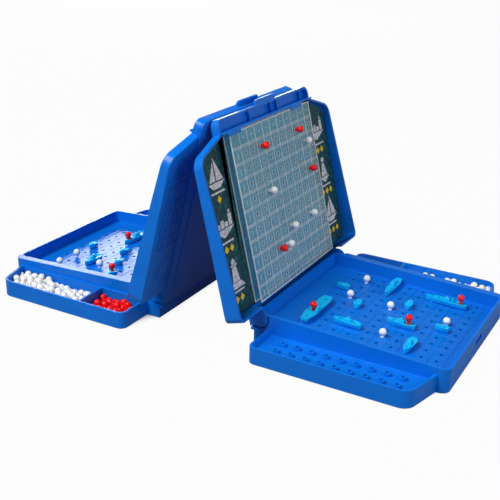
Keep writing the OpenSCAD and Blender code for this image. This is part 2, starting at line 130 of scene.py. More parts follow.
class Workpiece:
    """One mesh under the tools, in millimetres in its case's own frame."""

    def __init__(self, obj: bpy.types.Object, name: str) -> None:
        """Take over a freshly added primitive and bake its place into its mesh."""
        self.obj = obj
        obj.name = name
        obj.data.name = name
        self._bake()

    def _bake(self) -> None:
        """Apply the object's transform to its mesh."""
        deselect_all()
        self.obj.select_set(True)
        bpy.context.view_layer.objects.active = self.obj
        bpy.ops.object.transform_apply(location=True, rotation=True, scale=True)

    @classmethod
    def block(cls, name: str, low: Point, high: Point) -> "Workpiece":
        """A box between two corners."""
        deselect_all()
        middle = [(a + b) / 2 for a, b in zip(low, high)]
        size = [b - a for a, b in zip(low, high)]
        bpy.ops.mesh.primitive_cube_add(size=1, location=middle, scale=size)
        return cls(bpy.context.active_object, name)

    @classmethod
    def rod(cls, name: str, foot: Point, radius: float, length: float, sides: int = 24,
            turn: Point = (0, 0, 0), top: float | None = None) -> "Workpiece":
        """A round rod, or a cone where its top radius differs.

        Args:
            name: Name of the piece.
            foot: Centre of its lower end.
            radius: Radius of its lower end.
            length: Length along its own axis.
            sides: Sides of its round section.
            turn: Euler turn about the foot.
            top: Radius of its upper end.

        Returns:
            The new workpiece.
        """
        deselect_all()
        bpy.ops.mesh.primitive_cone_add(vertices=sides, radius1=radius,
                                        radius2=radius if top is None else top, depth=length)
        obj = bpy.context.active_object
        spin = Matrix.Rotation(turn[2], 4, "Z") @ Matrix.Rotation(turn[1], 4, "Y") \
            @ Matrix.Rotation(turn[0], 4, "X")
        obj.matrix_world = Matrix.Translation(foot) @ spin @ Matrix.Translation((0, 0, length / 2))
        return cls(obj, name)

    @classmethod
    def prism(cls, name: str, low: Spot, high: Spot, bottom: float, top: float,
              slants: Iterable[tuple[Spot, Spot]] = (),
              corners: Iterable[tuple[float, float, float]] = ()) -> "Workpiece":
        """A flat outline raised to a solid.

        Args:
            name: Name of the piece.
            low: Low X and Y of the outline's box.
            high: High X and Y of the outline's box.
            bottom: Height of the underside.
            top: Height of the top.
            slants: Pairs of a point and an outward direction that cut the outline.
            corners: X, Y and radius of each rounded corner.

        Returns:
            The new workpiece.
        """
        deselect_all()
        bpy.ops.mesh.primitive_plane_add(size=1, location=((low[0] + high[0]) / 2,
                                                           (low[1] + high[1]) / 2, bottom))
        bpy.context.active_object.scale = (high[0] - low[0], high[1] - low[1], 1)
        piece = cls(bpy.context.active_object, name)
        with editing(piece.obj):
            for spot, out in slants:
                bpy.ops.mesh.select_all(action="SELECT")
                bpy.ops.mesh.bisect(plane_co=(*spot, bottom), clear_outer=True,
                                    plane_no=Vector((*out, 0)).normalized())
            for x, y, radius in corners:
                piece.pick(Part.VERT, lambda c, n, x=x, y=y: math.hypot(c.x - x, c.y - y) < 0.4)
                bpy.ops.mesh.bevel(offset=radius, segments=6, affect="VERTICES")
            bpy.ops.mesh.select_all(action="SELECT")
            bpy.ops.mesh.extrude_region_move(
                TRANSFORM_OT_translate={"value": (0, 0, top - bottom)})
            bpy.ops.mesh.select_all(action="SELECT")
            bpy.ops.mesh.normals_make_consistent(inside=False)
        return piece

    def pick(self, part: Part, wanted: Callable[[Vector, Vector], bool]) -> int:
        """Select mesh parts by place and normal, in edit mode.

        Args:
            part: Kind of part to pick.
            wanted: Says from a part's centre and normal whether it is picked.

        Returns:
            How many parts were picked.
        """
        bpy.ops.mesh.select_mode(type=part.name)
        bpy.ops.mesh.select_all(action="DESELECT")
        mesh = bmesh.from_edit_mesh(self.obj.data)
        count = 0
        for item in getattr(mesh, part.value):
            if part is Part.VERT:
                centre, normal = item.co, item.normal
            elif part is Part.EDGE:
                centre = (item.verts[0].co + item.verts[1].co) / 2
                normal = (item.verts[1].co - item.verts[0].co).normalized()
            else:
                centre, normal = item.calc_center_median(), item.normal
            if wanted(centre, normal):
                item.select_set(True)
                count += 1
        mesh.select_flush_mode()
        bmesh.update_edit_mesh(self.obj.data)
        return count

    def round_edges(self, width: float, wanted: Callable[[Vector], bool] = lambda c: True,
                    segments: int = 2, sharp: float = 50) -> "Workpiece":
        """Round chosen edges in edit mode.

        Args:
            width: Width of the rounding.
            wanted: Says from an edge's middle whether it is rounded.
            segments: Steps of the rounding.
            sharp: Only edges sharper than this many degrees are rounded.

        Returns:
            This workpiece.
        """
        with editing(self.obj):
            bpy.ops.mesh.select_mode(type="EDGE")
            bpy.ops.mesh.select_all(action="DESELECT")
            mesh = bmesh.from_edit_mesh(self.obj.data)
            for edge in mesh.edges:
                middle = (edge.verts[0].co + edge.verts[1].co) / 2
                if edge.calc_face_angle(0) > math.radians(sharp) and wanted(middle):
                    edge.select_set(True)
            bmesh.update_edit_mesh(self.obj.data)
            bpy.ops.mesh.bevel(offset=width, segments=segments, affect="EDGES",
                               clamp_overlap=False)
        return self

    def slice(self, spot: Point, out: Point) -> "Workpiece":
        """Cut away what lies beyond a plane and close the cut."""
        with editing(self.obj):
            bpy.ops.mesh.select_all(action="SELECT")
            bpy.ops.mesh.bisect(plane_co=spot, plane_no=out, clear_outer=True, use_fill=True)
            bpy.ops.mesh.select_all(action="SELECT")
            bpy.ops.mesh.normals_make_consistent(inside=False)
        return self

    def _apply(self, kind: str, **settings: object) -> "Workpiece":
        """Add one modifier with its settings and apply it."""
        modifier = self.obj.modifiers.new(kind.lower(), kind)
        for key, value in settings.items():
            setattr(modifier, key, value)
        deselect_all()
        self.obj.select_set(True)
        bpy.context.view_layer.objects.active = self.obj
        bpy.ops.object.modifier_apply(modifier=modifier.name)
        if not self.obj.data.polygons:
            raise RuntimeError(f"{self.obj.name}: {kind.lower()} left nothing")
        return self

    def cut(self, *tools: "Workpiece") -> "Workpiece":
        """Take the tools' shapes out of this piece."""
        for tool in tools:
            self._apply("BOOLEAN", object=tool.obj, operation="DIFFERENCE", solver="EXACT")
            tool.scrap()
        return self

    def fuse(self, *others: "Workpiece") -> "Workpiece":
        """Make this piece and the others one solid."""
        for other in others:
            self._apply("BOOLEAN", object=other.obj, operation="UNION", solver="EXACT")
            other.scrap()
        return self

    def gather(self, *others: "Workpiece") -> "Workpiece":
        """Put other pieces into this object, each as its own shell."""
        if not others:
            return self
        deselect_all()
        for other in others:
            other.obj.select_set(True)
        self.obj.select_set(True)
        bpy.context.view_layer.objects.active = self.obj
        bpy.ops.object.join()
        return self

    def row(self, count: int, step: Point) -> "Workpiece":
        """Repeat this piece in a row."""
        return self._apply("ARRAY", count=count, use_relative_offset=False,
                           use_constant_offset=True, constant_offset_displace=step)

    def soften(self, width: float, segments: int = 2, angle: float = 38) -> "Workpiece":
        """Round every edge sharper than an angle."""
        return self._apply("BEVEL", width=width, segments=segments, limit_method="ANGLE",
                           angle_limit=math.radians(angle), use_clamp_overlap=True,
                           miter_outer="MITER_ARC")

    def level_shading(self) -> "Workpiece":
        """Let the large faces lead the shading, so that they look flat up to their roundings."""
        return self._apply("WEIGHTED_NORMAL", mode="FACE_AREA", weight=50, keep_sharp=True)

    def copy(self, name: str) -> "Workpiece":
        """A second piece with its own mesh."""
        obj = self.obj.copy()
        obj.data = self.obj.data.copy()
        bpy.context.scene.collection.objects.link(obj)
        return Workpiece(obj, name)

    def move(self, matrix: Matrix) -> "Workpiece":
        """Carry the mesh through a matrix, leaving the object at the origin."""
        self.obj.matrix_world = matrix
        self._bake()
        return self

    def scrap(self) -> None:
        """Throw a used tool away."""
        mesh = self.obj.data
        bpy.data.objects.remove(self.obj)
        bpy.data.meshes.remove(mesh)


# ---- finishes --------------------------------------------------------------------------


class NodeSheet:
    """A material's node tree with short ways to add to it."""

    def __init__(self, name: str) -> None:
        """Start a material with one Principled shader."""
        self.material = bpy.data.materials.new(name)
        self.material.use_nodes = True
        self.tree = self.material.node_tree
        self.shader = self.tree.nodes["Principled BSDF"]
        self.place = self.tree.nodes.new("ShaderNodeTexCoord").outputs["Object"]

    def noise(self, scale: float, detail: float = 3, roughness: float = 0.55,
              stretch: Point = (1, 1, 1)) -> bpy.types.NodeSocket:
        """A noise value over the piece, scale in features per metre."""
        mapping = self.tree.nodes.new("ShaderNodeMapping")
        mapping.inputs["Scale"].default_value = stretch
        self.tree.links.new(self.place, mapping.inputs["Vector"])
        node = self.tree.nodes.new("ShaderNodeTexNoise")
        node.inputs["Scale"].default_value = scale
        node.inputs["Detail"].default_value = detail
        node.inputs["Roughness"].default_value = roughness
        self.tree.links.new(mapping.outputs["Vector"], node.inputs["Vector"])
        return node.outputs["Fac"]

    def span(self, value: bpy.types.NodeSocket, low: float, high: float,
             start: float = 0.3, end: float = 0.7) -> bpy.types.NodeSocket:
        """Map a noise value to a span of numbers."""
        node = self.tree.nodes.new("ShaderNodeMapRange")
        for key, number in (("From Min", start), ("From Max", end), ("To Min", low), ("To Max", high)):
            node.inputs[key].default_value = number
        self.tree.links.new(value, node.inputs["Value"])
        return node.outputs["Result"]

    def ramp(self, value: bpy.types.NodeSocket,
             stops: Iterable[tuple[float, Point]]) -> bpy.types.NodeSocket:
        """Map a value to colours."""
        node = self.tree.nodes.new("ShaderNodeValToRGB")
        stops = list(stops)
        while len(node.color_ramp.elements) < len(stops):
            node.color_ramp.elements.new(0.5)
        for element, (spot, colour) in zip(node.color_ramp.elements, stops):
            element.position = spot
            element.color = (*colour, 1)
        self.tree.links.new(value, node.inputs["Fac"])
        return node.outputs["Color"]

    def feed(self, name: str, value: bpy.types.NodeSocket) -> None:
        """Link a value to one of the shader's sockets."""
        self.tree.links.new(value, self.shader.inputs[name])

    def fix(self, **values: float | Point) -> None:
        """Set uniform values on the shader's own sockets."""
        for key, value in values.items():
            socket = self.shader.inputs[key.replace("_", " ")]
            socket.default_value = (*value, 1) if isinstance(value, tuple) else value

    def bump(self, value: bpy.types.NodeSocket, height: float, strength: float) -> None:
        """Raise the surface by a value, height in metres."""
        node = self.tree.nodes.new("ShaderNodeBump")
        node.inputs["Strength"].default_value = strength
        node.inputs["Distance"].default_value = height
        self.tree.links.new(value, node.inputs["Height"])
        self.tree.links.new(node.outputs["Normal"], self.shader.inputs["Normal"])


@dataclass(frozen=True)
class MouldedPlastic:
    """Injection-moulded plastic: faint flow mottling, handling marks and a fine skin."""

    name: str
    slot: str
    colour: Point
    roughness: float = 0.35
    specular: float = 0.4
    mottle: float = 0.06
    skin: float = 0.06

    def material(self) -> bpy.types.Material:
        """Build the node material."""
        sheet = NodeSheet(self.name)
        flow = sheet.noise(14, 4, 0.6, (1, 1, 2.2))
        dark = tuple(c * (1 - self.mottle) for c in self.colour)
        light = tuple(min(1.0, c * (1 + self.mottle)) for c in self.colour)
        sheet.feed("Base Color", sheet.ramp(flow, [(0.35, dark), (0.5, self.colour), (0.68, light)]))
        marks = sheet.noise(90, 2, 0.5)
        sheet.feed("Roughness", sheet.span(marks, self.roughness - 0.02, self.roughness + 0.03))
        sheet.bump(sheet.noise(1500, 1, 0.5), 0.00001, self.skin)
        sheet.fix(IOR=1.5, Specular_IOR_Level=self.specular)
        return sheet.material


@dataclass(frozen=True)
class ClearPlastic:
    """Thin see-through moulding with a pale tint and slight waviness."""

    name: str
    slot: str
    colour: Point
    opacity: float
    roughness: float = 0.14

    def material(self) -> bpy.types.Material:
        """Build the node material."""
        sheet = NodeSheet(self.name)
        haze = sheet.noise(60, 3, 0.6)
        pale = tuple(min(1.0, c * 1.12) for c in self.colour)
        sheet.feed("Base Color", sheet.ramp(haze, [(0.3, self.colour), (0.7, pale)]))
        sheet.feed("Roughness", sheet.span(haze, self.roughness - 0.04, self.roughness + 0.08))
        sheet.bump(sheet.noise(170, 2, 0.5), 0.00012, 0.25)
        sheet.fix(IOR=1.5, Alpha=self.opacity, Specular_IOR_Level=0.6)
        return sheet.material


@dataclass(frozen=True)
class PrintedCard:
    """Coated board printed with a mottled sea, from deep to light."""

    name: str
    slot: str
    deep: Point
    middle: Point
    light: Point
    grain: float = 260

    def material(self) -> bpy.types.Material:
        """Build the node material."""
        sheet = NodeSheet(self.name)
        swell = sheet.noise(self.grain, 6, 0.72)
        sheet.feed("Base Color", sheet.ramp(
            swell, [(0.36, self.deep), (0.52, self.middle), (0.70, self.light)]))
        sheet.feed("Roughness", sheet.span(sheet.noise(900, 2), 0.42, 0.55))
        sheet.bump(sheet.noise(3800, 2), 0.00002, 0.15)
        sheet.fix(Specular_IOR_Level=0.3)
        return sheet.material


@dataclass(frozen=True)
class PrintInk:
    """Flat ink on the card, slightly uneven and screened."""

    name: str
    slot: str
    colour: Point
    shade: Point

    def material(self) -> bpy.types.Material:
        """Build the node material."""
        sheet = NodeSheet(self.name)
        tone = sheet.noise(420, 5, 0.65)
        sheet.feed("Base Color", sheet.ramp(tone, [(0.38, self.shade), (0.6, self.colour)]))
        sheet.feed("Roughness", sheet.span(sheet.noise(1400, 2), 0.45, 0.6))
        sheet.fix(Specular_IOR_Level=0.3)
        return sheet.material


CASE_BLUE = MouldedPlastic("case_blue_plastic", "case_blue", (0.002, 0.178, 0.74), 0.30, 0.26)
SHIP_BLUE = MouldedPlastic("ship_blue_plastic", "ship_blue", (0.002, 0.50, 0.94), 0.34, 0.3)
PEG_WHITE = MouldedPlastic("peg_white_plastic", "peg_white", (0.93, 0.93, 0.92), 0.3, 0.45, 0.03)
PEG_RED = MouldedPlastic("peg_red_plastic", "peg_red", (0.92, 0.006, 0.008), 0.24, 0.4, 0.05)
CLEAR_PLATE = ClearPlastic("clear_panel_plate", "clear_blue", (0.42, 0.84, 1.0), 0.20)
CLEAR_WALL = ClearPlastic("clear_panel_wall", "clear_blue", (0.30, 0.60, 0.85), 0.07)
# Painted highlight: the raised lines are real ribs, and their near-white colour stands in for light catching
# their edges.
CLEAR_RIB_HIGHLIGHT = ClearPlastic("clear_panel_rib", "clear_blue", (0.97, 0.99, 1.0), 0.8)
CLEAR_MARK = ClearPlastic("clear_panel_mark", "clear_blue", (0.90, 0.97, 1.0), 0.40)
# Painted highlight: near-white, nearly opaque frames stand in for the glint on the clear panel's edges.
CLEAR_EDGE_HIGHLIGHT = ClearPlastic("clear_panel_edge", "clear_blue", (0.99, 1.0, 1.0), 0.96)
SEA_CARD = PrintedCard("sea_card", "card_teal", (0.002, 0.018, 0.03), (0.006, 0.062, 0.075),
                       (0.02, 0.22, 0.20))
CHART_CARD = PrintedCard("chart_card", "card_teal", (0.004, 0.07, 0.20), (0.016, 0.24, 0.42),
                         (0.06, 0.52, 0.70), 340)
SILVER_INK = PrintInk("silver_ink", "card_teal", (0.88, 0.87, 0.90), (0.48, 0.47, 0.50))
YELLOW_INK = PrintInk("yellow_ink", "card_teal", (0.95, 0.72, 0.02), (0.80, 0.55, 0.01))


class Rack:
    """Keeps each finish's material, made once."""

    made: dict[str, bpy.types.Material] = {}

    @classmethod
    def get(cls, finish: MouldedPlastic | ClearPlastic | PrintedCard | PrintInk) -> bpy.types.Material:
        """The material of a finish."""
        if finish.name not in cls.made:
            cls.made[finish.name] = finish.material()
        return cls.made[finish.name]


# ---- placing ---------------------------------------------------------------------------


@dataclass(frozen=True)
class CaseSizes:
    """Main sizes that the pieces of a case share."""

    pitch: float = 14
    rows: int = 10
    first_x: float = 87.1
    first_y: float = -51
    board_z: float = 19.3
    board_tilt: float = 2.5
    wall: float = 2.4
    well_low: Spot = (52, -84)
    well_high: Spot = (234, 91)
    well_in_low: Spot = (54.6, -81.6)
    well_in_high: Spot = (231.6, 83)
    well_wall: float = 13.3
    tray_low: Spot = (64.5, -123.5)
    tray_high: Spot = (224, 130.5)
    turn_x: float = 214
    rim_z: float = 16.5
    middle_y: float = 3.5
    block_x: float = 50
    ledge_z: float = 13.3
    pivot: Spot = (55.2, 24.1)
    open_angle: float = 107
    lid_depth: float = 21
    lid_taper: float = 3.3
    gap: float = 0.35

    @property
    def board(self) -> Matrix:
        """Frame of the sloping board."""
        return Matrix.Translation((0, 0, self.board_z)) \
            @ Matrix.Rotation(math.radians(self.board_tilt), 4, "Y")

    def hole(self, i: float, j: float) -> Matrix:
        """Frame of the board hole at row i, column j."""
        return self.board @ Matrix.Translation((self.first_x + i * self.pitch,
                                                self.first_y + j * self.pitch, 0))

    @property
    def swing(self) -> Matrix:
        """Turn from the shut lid to the open lid."""
        hinge = Matrix.Translation((self.pivot[0], 0, self.pivot[1]))
        return hinge @ Matrix.Rotation(-math.radians(self.open_angle), 4, "Y") @ hinge.inverted()

    @property
    def card(self) -> Matrix:
        """Frame of the card's back plane in the shut lid."""
        return Matrix.Translation((0, 0, self.rim_z + self.lid_depth - 2.2 - self.gap / 2)) \
            @ Matrix.Rotation(math.radians(self.lid_taper), 4, "Y")

    def lid_top(self, extra: float = 0) -> tuple[Point, Point]:
        """Point and outward direction of the lid's sloping top."""
        tilt = math.radians(self.lid_taper)
        return (0, 0, self.rim_z + self.lid_depth + extra), (math.sin(tilt), 0, math.cos(tilt))

    def slope(self, above: float = 0) -> tuple[Point, Point]:
        """Point and upward direction of a plane above the board."""
        tilt = math.radians(self.board_tilt)
        return (0, 0, self.board_z + above), (math.sin(tilt), 0, math.cos(tilt))


SIZES = CaseSizes()
METRES = Matrix.Scale(0.001, 4)


def settle(piece: Workpiece, side: Side, body: str,
           finish: MouldedPlastic | ClearPlastic | PrintedCard | PrintInk, on_lid: bool = False,
           stands_for: Iterable[str] = (), smooth: float = 32) -> bpy.types.Object:
    """Put a finished piece in its place in the set and dress it.

    Args:
        piece: The piece in its case's own frame, lid shut.
        side: The case that it belongs to.
        body: The CAD body that it rides on.
        finish: Its finish.
        on_lid: Whether it swings open with the lid.
        stands_for: The CAD nodes that it replaces.
        smooth: Greatest angle in degrees that is shaded smooth.

    Returns:
        The finished object.
    """
    piece.move(METRES @ side.half_turn @ (SIZES.swing if on_lid else Matrix.Identity(4)))
    obj = piece.obj
    obj.data.materials.clear()
    obj.data.materials.append(Rack.get(finish))
    deselect_all()
    obj.select_set(True)
    bpy.context.view_layer.objects.active = obj
    bpy.ops.object.shade_smooth_by_angle(angle=math.radians(smooth))
    if finish is CASE_BLUE:
        piece.level_shading()
    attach(obj, body)
    if stands_for:
        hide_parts(*stands_for)
    log.info("%s: %d faces on %s", obj.name, len(obj.data.polygons), body)
    return obj


# ---- base ------------------------------------------------------------------------------


@dataclass
class BaseTray:
    """Moulded base: board well, ship tray, two-part peg tray and hinge seats."""

    ship_floor: float = 10.8
    peg_floor: float = 3
    divider_x: float = 118
    boss_radius: float = 3.3
    boss_height: float = 3.2
    boss_y: Spot = (-97.5, -111.5)
    boss_count: int = 9
    hole_radius: float = 1.8
    floor: float = 2
    groove: float = 0.4
    score: float = 0.12
    cheek_room: float = 2.95
    notch_radius: float = 10
    edge: float = 0.45

    def outer(self) -> Workpiece:
        """The base's solid outside: tray slab, well block and hinge block."""
        s = SIZES
        slab = Workpiece.prism(
            "slab", s.tray_low, s.tray_high, 0, s.rim_z,
            [((224, -84), (39.5, -10)), ((224, 91), (39.5, 10))],
            [(*s.tray_low, 7), (s.tray_low[0], s.tray_high[1], 7),
             (s.turn_x, s.tray_low[1], 9), (s.turn_x, s.tray_high[1], 9)])
        well = Workpiece.prism(
            "well", s.well_low, s.well_high, 0, 60,
            corners=[(234, -84, 8), (234, 91, 8), (52, -84, 2), (52, 91, 2)],
        ).slice(*s.slope(s.well_wall))
        step = Workpiece.block("step", (s.block_x, -84, 0), (54, 91, s.ledge_z))
        return slab.round_edges(self.edge).fuse(well.round_edges(self.edge), step)

    def pockets(self) -> list[Workpiece]:
        """Cutters for the ship tray, the two peg trays and the board well."""
        s = SIZES
        ships = Workpiece.prism(
            "ship_pocket", (66.9, -121.1), (220.6, -84), self.ship_floor, 60,
            [((220.6, -84), (37.1, -7.8))],
            [(66.9, -121.1, 5), (212.8, -121.1, 7), (66.9, -84, 2)])
        white = Workpiece.prism(
            "white_pocket", (self.divider_x + 1.2, 93.4), (220, 128.1), self.peg_floor, 60,
            [((220, 93.4), (34.7, 7.2))],
            [(119.2, 93.4, 1.5), (220, 93.4, 2), (212.8, 128.1, 7), (119.2, 128.1, 1.5)])
        red = Workpiece.prism(
            "red_pocket", (66.9, 93.4), (self.divider_x - 1.2, 128.1), self.peg_floor, 60,
            corners=[(66.9, 93.4, 1.5), (116.8, 93.4, 1.5), (116.8, 128.1, 1.5), (66.9, 128.1, 5)])
        spot, up = s.slope()
        well = Workpiece.prism(
            "well_pocket", s.well_in_low, s.well_in_high, -10, 60,
            corners=[(54.6, -81.6, 1.5), (231.6, -81.6, 5), (231.6, 83, 5), (54.6, 83, 1.5)],
        ).slice(spot, (-up[0], 0, -up[2]))
        return [cutter.round_edges(0.7, lambda c: c.z < 25)
                for cutter in (ships, white, red, well)]

    def hinge_rooms(self) -> list[Workpiece]:
        """Cutters for the two notches that the lid's cheeks turn in, and their pin holes."""
        x, z = SIZES.pivot
        rooms = []
        for low, high in ((-85, -84 + self.cheek_room), (91 - self.cheek_room, 92)):
            rooms.append(Workpiece.block("upper_room", (49, low, z), (65.2, high, 60)))
            rooms.append(Workpiece.block("lower_room", (49, low, SIZES.ledge_z), (56.2, high, 60)))
            rooms.append(Workpiece.rod("round_room", (x, low, z), self.notch_radius, high - low,
                                       40, (-math.pi / 2, 0, 0)))
        for low in (-82.05, 84.3):
            rooms.append(Workpiece.rod("pin_hole", (x, low, z), 2.56, 4.75, 24, (-math.pi / 2, 0, 0)))
        return rooms

    def underside(self) -> list[Workpiece]:
        """Cutters that leave the well and the ship tray hollow from below."""
        well = Workpiece.prism(
            "well_underside", (54.4, -81.6), (231.6, 83), -1, 60,
            corners=[(54.4, -81.6, 2), (231.6, -81.6, 5), (231.6, 83, 5), (54.4, 83, 2)],
        ).slice(*SIZES.slope(-self.floor))
        tray = Workpiece.prism(
            "tray_underside", (66.9, -121.1), (220.4, -85.2), -1, self.ship_floor - self.floor,
            [((220.4, -85.2), (37.1, -7.8))],
            [(66.9, -121.1, 5), (212.8, -121.1, 7), (220.4, -85.2, 1.5), (66.9, -85.2, 2)])
        return [well, tray]

    def bosses(self) -> Workpiece:
        """The two rows of short tubes that hold the spare ships."""
        foot = self.ship_floor - 1
        boss = Workpiece.rod("boss", (SIZES.first_x, self.boss_y[0], foot),
                             self.boss_radius, self.boss_height + 1, 24, top=self.boss_radius - 0.25)
        boss.round_edges(0.3, lambda c: c.z > foot + 2)
        with editing(boss.obj):
            boss.pick(Part.FACE, lambda c, n: n.z > 0.95)
            bpy.ops.mesh.inset(thickness=self.boss_radius - 0.55 - self.hole_radius)
            bpy.ops.mesh.extrude_region_move(
                TRANSFORM_OT_translate={"value": (0, 0, 0.4 - self.boss_height)})
        boss.row(self.boss_count, (SIZES.pitch, 0, 0))
        return boss.row(2, (0, self.boss_y[1] - self.boss_y[0], 0))

    def squares(self) -> Workpiece:
        """The board's drilled squares, with fine grooves between them."""
        s = SIZES
        half = s.pitch / 2
        square = Workpiece.block("square", (-half, -half, -self.floor), (half, half, 0))
        punch = Workpiece.rod("punch", (0, 0, -3), self.hole_radius, 4, 20)
        square.cut(punch)
        square.round_edges(self.groove, lambda c: abs(c.x) > half - 0.1 and c.z > -0.1, 1)
        square.round_edges(self.score, lambda c: abs(c.y) > half - 0.1 and c.z > -0.1, 1)
        square.row(s.rows, (s.pitch, 0, 0)).row(s.rows, (0, s.pitch, 0))
        return square.move(s.board @ Matrix.Translation((s.first_x, s.first_y, 0)))

    def window(self) -> Workpiece:
        """Cutter for the opening that the squares fill."""
        s = SIZES
        half = s.pitch / 2
        low = (s.first_x - half, s.first_y - half, -6)
        high = (s.first_x + s.pitch * s.rows - half, s.first_y + s.pitch * s.rows - half, 6)
        return Workpiece.block("window", low, high).move(s.board)

    def model(self) -> Workpiece:
        """Model one base in its case's own frame."""
        s = SIZES
        base = self.outer().cut(*self.pockets())
        lip = Workpiece.block("lip", (46.5, -83.9, 10.9), (51, 90.9, s.ledge_z - 0.02))
        hinge_wall = Workpiece.block("hinge_wall", (53, -82, s.ledge_z - 1), (70.2, -76.05, 26.5))
        base.fuse(lip.round_edges(0.3), hinge_wall.round_edges(0.4))
        base.cut(*self.underside()).cut(*self.hinge_rooms())
        latch = Workpiece.block("latch_slot", (232.6, -6, 10.5), (236, 13, 15.5))
        base.cut(latch, self.window())
        slope = math.tan(math.radians(s.board_tilt))
        well_top = s.board_z + s.well_wall
        base.round_edges(0.35, lambda c: c.x > 72 and (
            abs(c.z - s.rim_z) < 0.02 or abs(c.z - well_top + c.x * slope) < 0.02), sharp=70)
        return base.gather(self.squares(), self.bosses())

    def place(self, pattern: Workpiece, side: Side) -> None:
        """Copy the modelled base to one case and dress it."""
        settle(pattern.copy(f"{side.value}_base_moulding"), side, f"{side.value}_base", CASE_BLUE,
               stands_for=[f"{side.value}_base"])


# ---- lid -------------------------------------------------------------------------------


@dataclass
class FoldingLid:
    """Hinged lid with a raised middle, card seat, holding rail, handle trough and latch lip."""

    wall: float = 2.2
    rim: float = 16.85
    rise: float = 1.6
    cheek_radius: float = 8.6
    cheek: float = 2.6
    pin_radius: float = 2.5
    rib: float = 1.4
    rib_y: tuple[float, ...] = (-28, 14, 26.25, 75.25)
    ridge_y: Spot = (-73, 78)
    edge: float = 0.4
    shoulder: float = 1.1

    def under_top(self, extra: float) -> tuple[Point, Point]:
        """Point and outward direction of a plane below or above the lid's top."""
        return SIZES.lid_top(extra)

    def inner_side(self, extra: float) -> tuple[Point, Point]:
        """The same plane as under_top, facing inwards."""
        spot, out = self.under_top(extra)
        return spot, (-out[0], 0, -out[2])

    def outer(self) -> Workpiece:
        """The lid's solid outside, each part's upper edges rounded."""
        wings = Workpiece.prism(
            "lid_wings", (64.9, -123.5), (225.5, 130.5), self.rim, 60,
            [((225.5, -84.5), (39, -13.5)), ((225.5, 91.5), (39, 13.5))],
            [(64.9, -123.5, 6), (64.9, 130.5, 6), (212, -123.5, 9), (212, 130.5, 9)],
        ).slice(*self.under_top(0))
        front = Workpiece.prism(
            "lid_front", (120, -84.5), (238.5, 91.5), self.rim, 60,
            corners=[(238.5, -84.5, 7), (238.5, 91.5, 7)]).slice(*self.under_top(0.05))
        middle = Workpiece.prism(
            "lid_middle", (48.2, -84), (238.4, 91), self.rim, 60,
            corners=[(238.4, -84, 7), (238.4, 91, 7), (48.2, -84, 1.2), (48.2, 91, 1.2)],
        ).slice(*self.under_top(self.rise))
        for part in (wings, front, middle):
            part.round_edges(self.shoulder, lambda c: c.z > 20, 3)
            part.round_edges(self.edge, lambda c: c.z < self.rim + 0.02)
        heel_room = Workpiece.block("heel_room", (47, -86, 5), (66.5, 93, SIZES.pivot[1]))
        return wings.fuse(front, middle.cut(heel_room))

    def hollow(self) -> list[Workpiece]:
        """Cutters for the inside of the wings and of the middle."""
        wings = Workpiece.prism(
            "wing_hollow", (67.1, -121.3), (224, 128.3), 5, 60,
            [((223.42, -83.78), (39, -13.5)), ((223.42, 90.78), (39, 13.5))],
            [(67.1, -121.3, 4.4), (67.1, 128.3, 4.4), (210.43, -121.3, 7.4), (210.43, 128.3, 7.4)],
        ).slice(*self.under_top(-self.wall))
        middle = Workpiece.prism(
            "middle_hollow", (66, -82.3), (236.3, 89.3), 5, 60,
            corners=[(236.3, -82.3, 5.4), (236.3, 89.3, 5.4)]).slice(*self.under_top(-self.wall))
        back = Workpiece.block("back_hollow", (47, -84 + self.cheek, 5), (72.5, 91 - self.cheek, 60))
        return [wings, middle, back.slice(*self.under_top(-self.wall - 0.03))]

    def wall_slots(self) -> list[Workpiece]:
        """Cutters that make room for the ends of the well's side walls."""
        slots = []
        for y in (-84.35, 88.05):
            slot = Workpiece.block("wall_slot", (64.2, y, 5), (72.5, y + 3.3, 60))
            slots.append(slot.slice(*SIZES.slope(SIZES.well_wall + 0.7)))
        return slots

    def fittings(self) -> list[Workpiece]:
        """Cheeks, pins, holding rail, clips, handle ribs, latch lip and back ridges."""
        x, z = SIZES.pivot
        made = []
        for y, way in ((-84, 1), (91, -1)):
            turn = (-way * math.pi / 2, 0, 0)
            cheek = Workpiece.rod("cheek", (x, y + way * 0.04, z), self.cheek_radius,
                                  self.cheek - 0.08, 48, turn)
            pin = Workpiece.rod("pin", (x, y + way * 0.6, z), self.pin_radius, 5.7, 24, turn)
            made += [cheek.round_edges(0.3), pin.round_edges(0.3)]
        rail = Workpiece.block("rail", (225, -83, 13.5), (226.8, 90, 60))
        made.append(rail.slice(*self.under_top(-0.5)).round_edges(0.3, lambda c: c.z < 20))
        for y in (-78, 42.9):
            clip = Workpiece.block("clip", (221.9, y, 12.1), (226.7, y + 21, 13.7))
            made.append(clip.round_edges(0.3))
        for y in self.rib_y:
            rib = Workpiece.block("handle_rib", (226, y, 18.5), (237.3, y + self.rib, 60))
            made.append(rib.slice(*self.under_top(-0.5)))
        latch = Workpiece.prism("latch_lip", (236.6, -13), (243, 25), 17.9, 20.1,
                                corners=[(243, -13, 2.5), (243, 25, 2.5)])
        made.append(latch.round_edges(0.4))
        for y in self.ridge_y:
            ridge = Workpiece.block("back_ridge", (68.5, y, 25), (184, y + 2, 60))
            ridge.slice(*self.under_top(self.rise + 0.8)).slice(*self.inner_side(-0.6))
            made.append(ridge.round_edges(0.3))
        return made

    def relief(self) -> Workpiece:
        """Low raised squares and outlines moulded on the wings' outside."""
        bars = []

        def pad(low: Spot, high: Spot, up: float = 0.5) -> None:
            """Add one low pad on the sloping wing."""
            block = Workpiece.block("pad", (*low, 20), (*high, 60))
            bars.append(block.slice(*self.under_top(up)).slice(*self.inner_side(-1.2)))

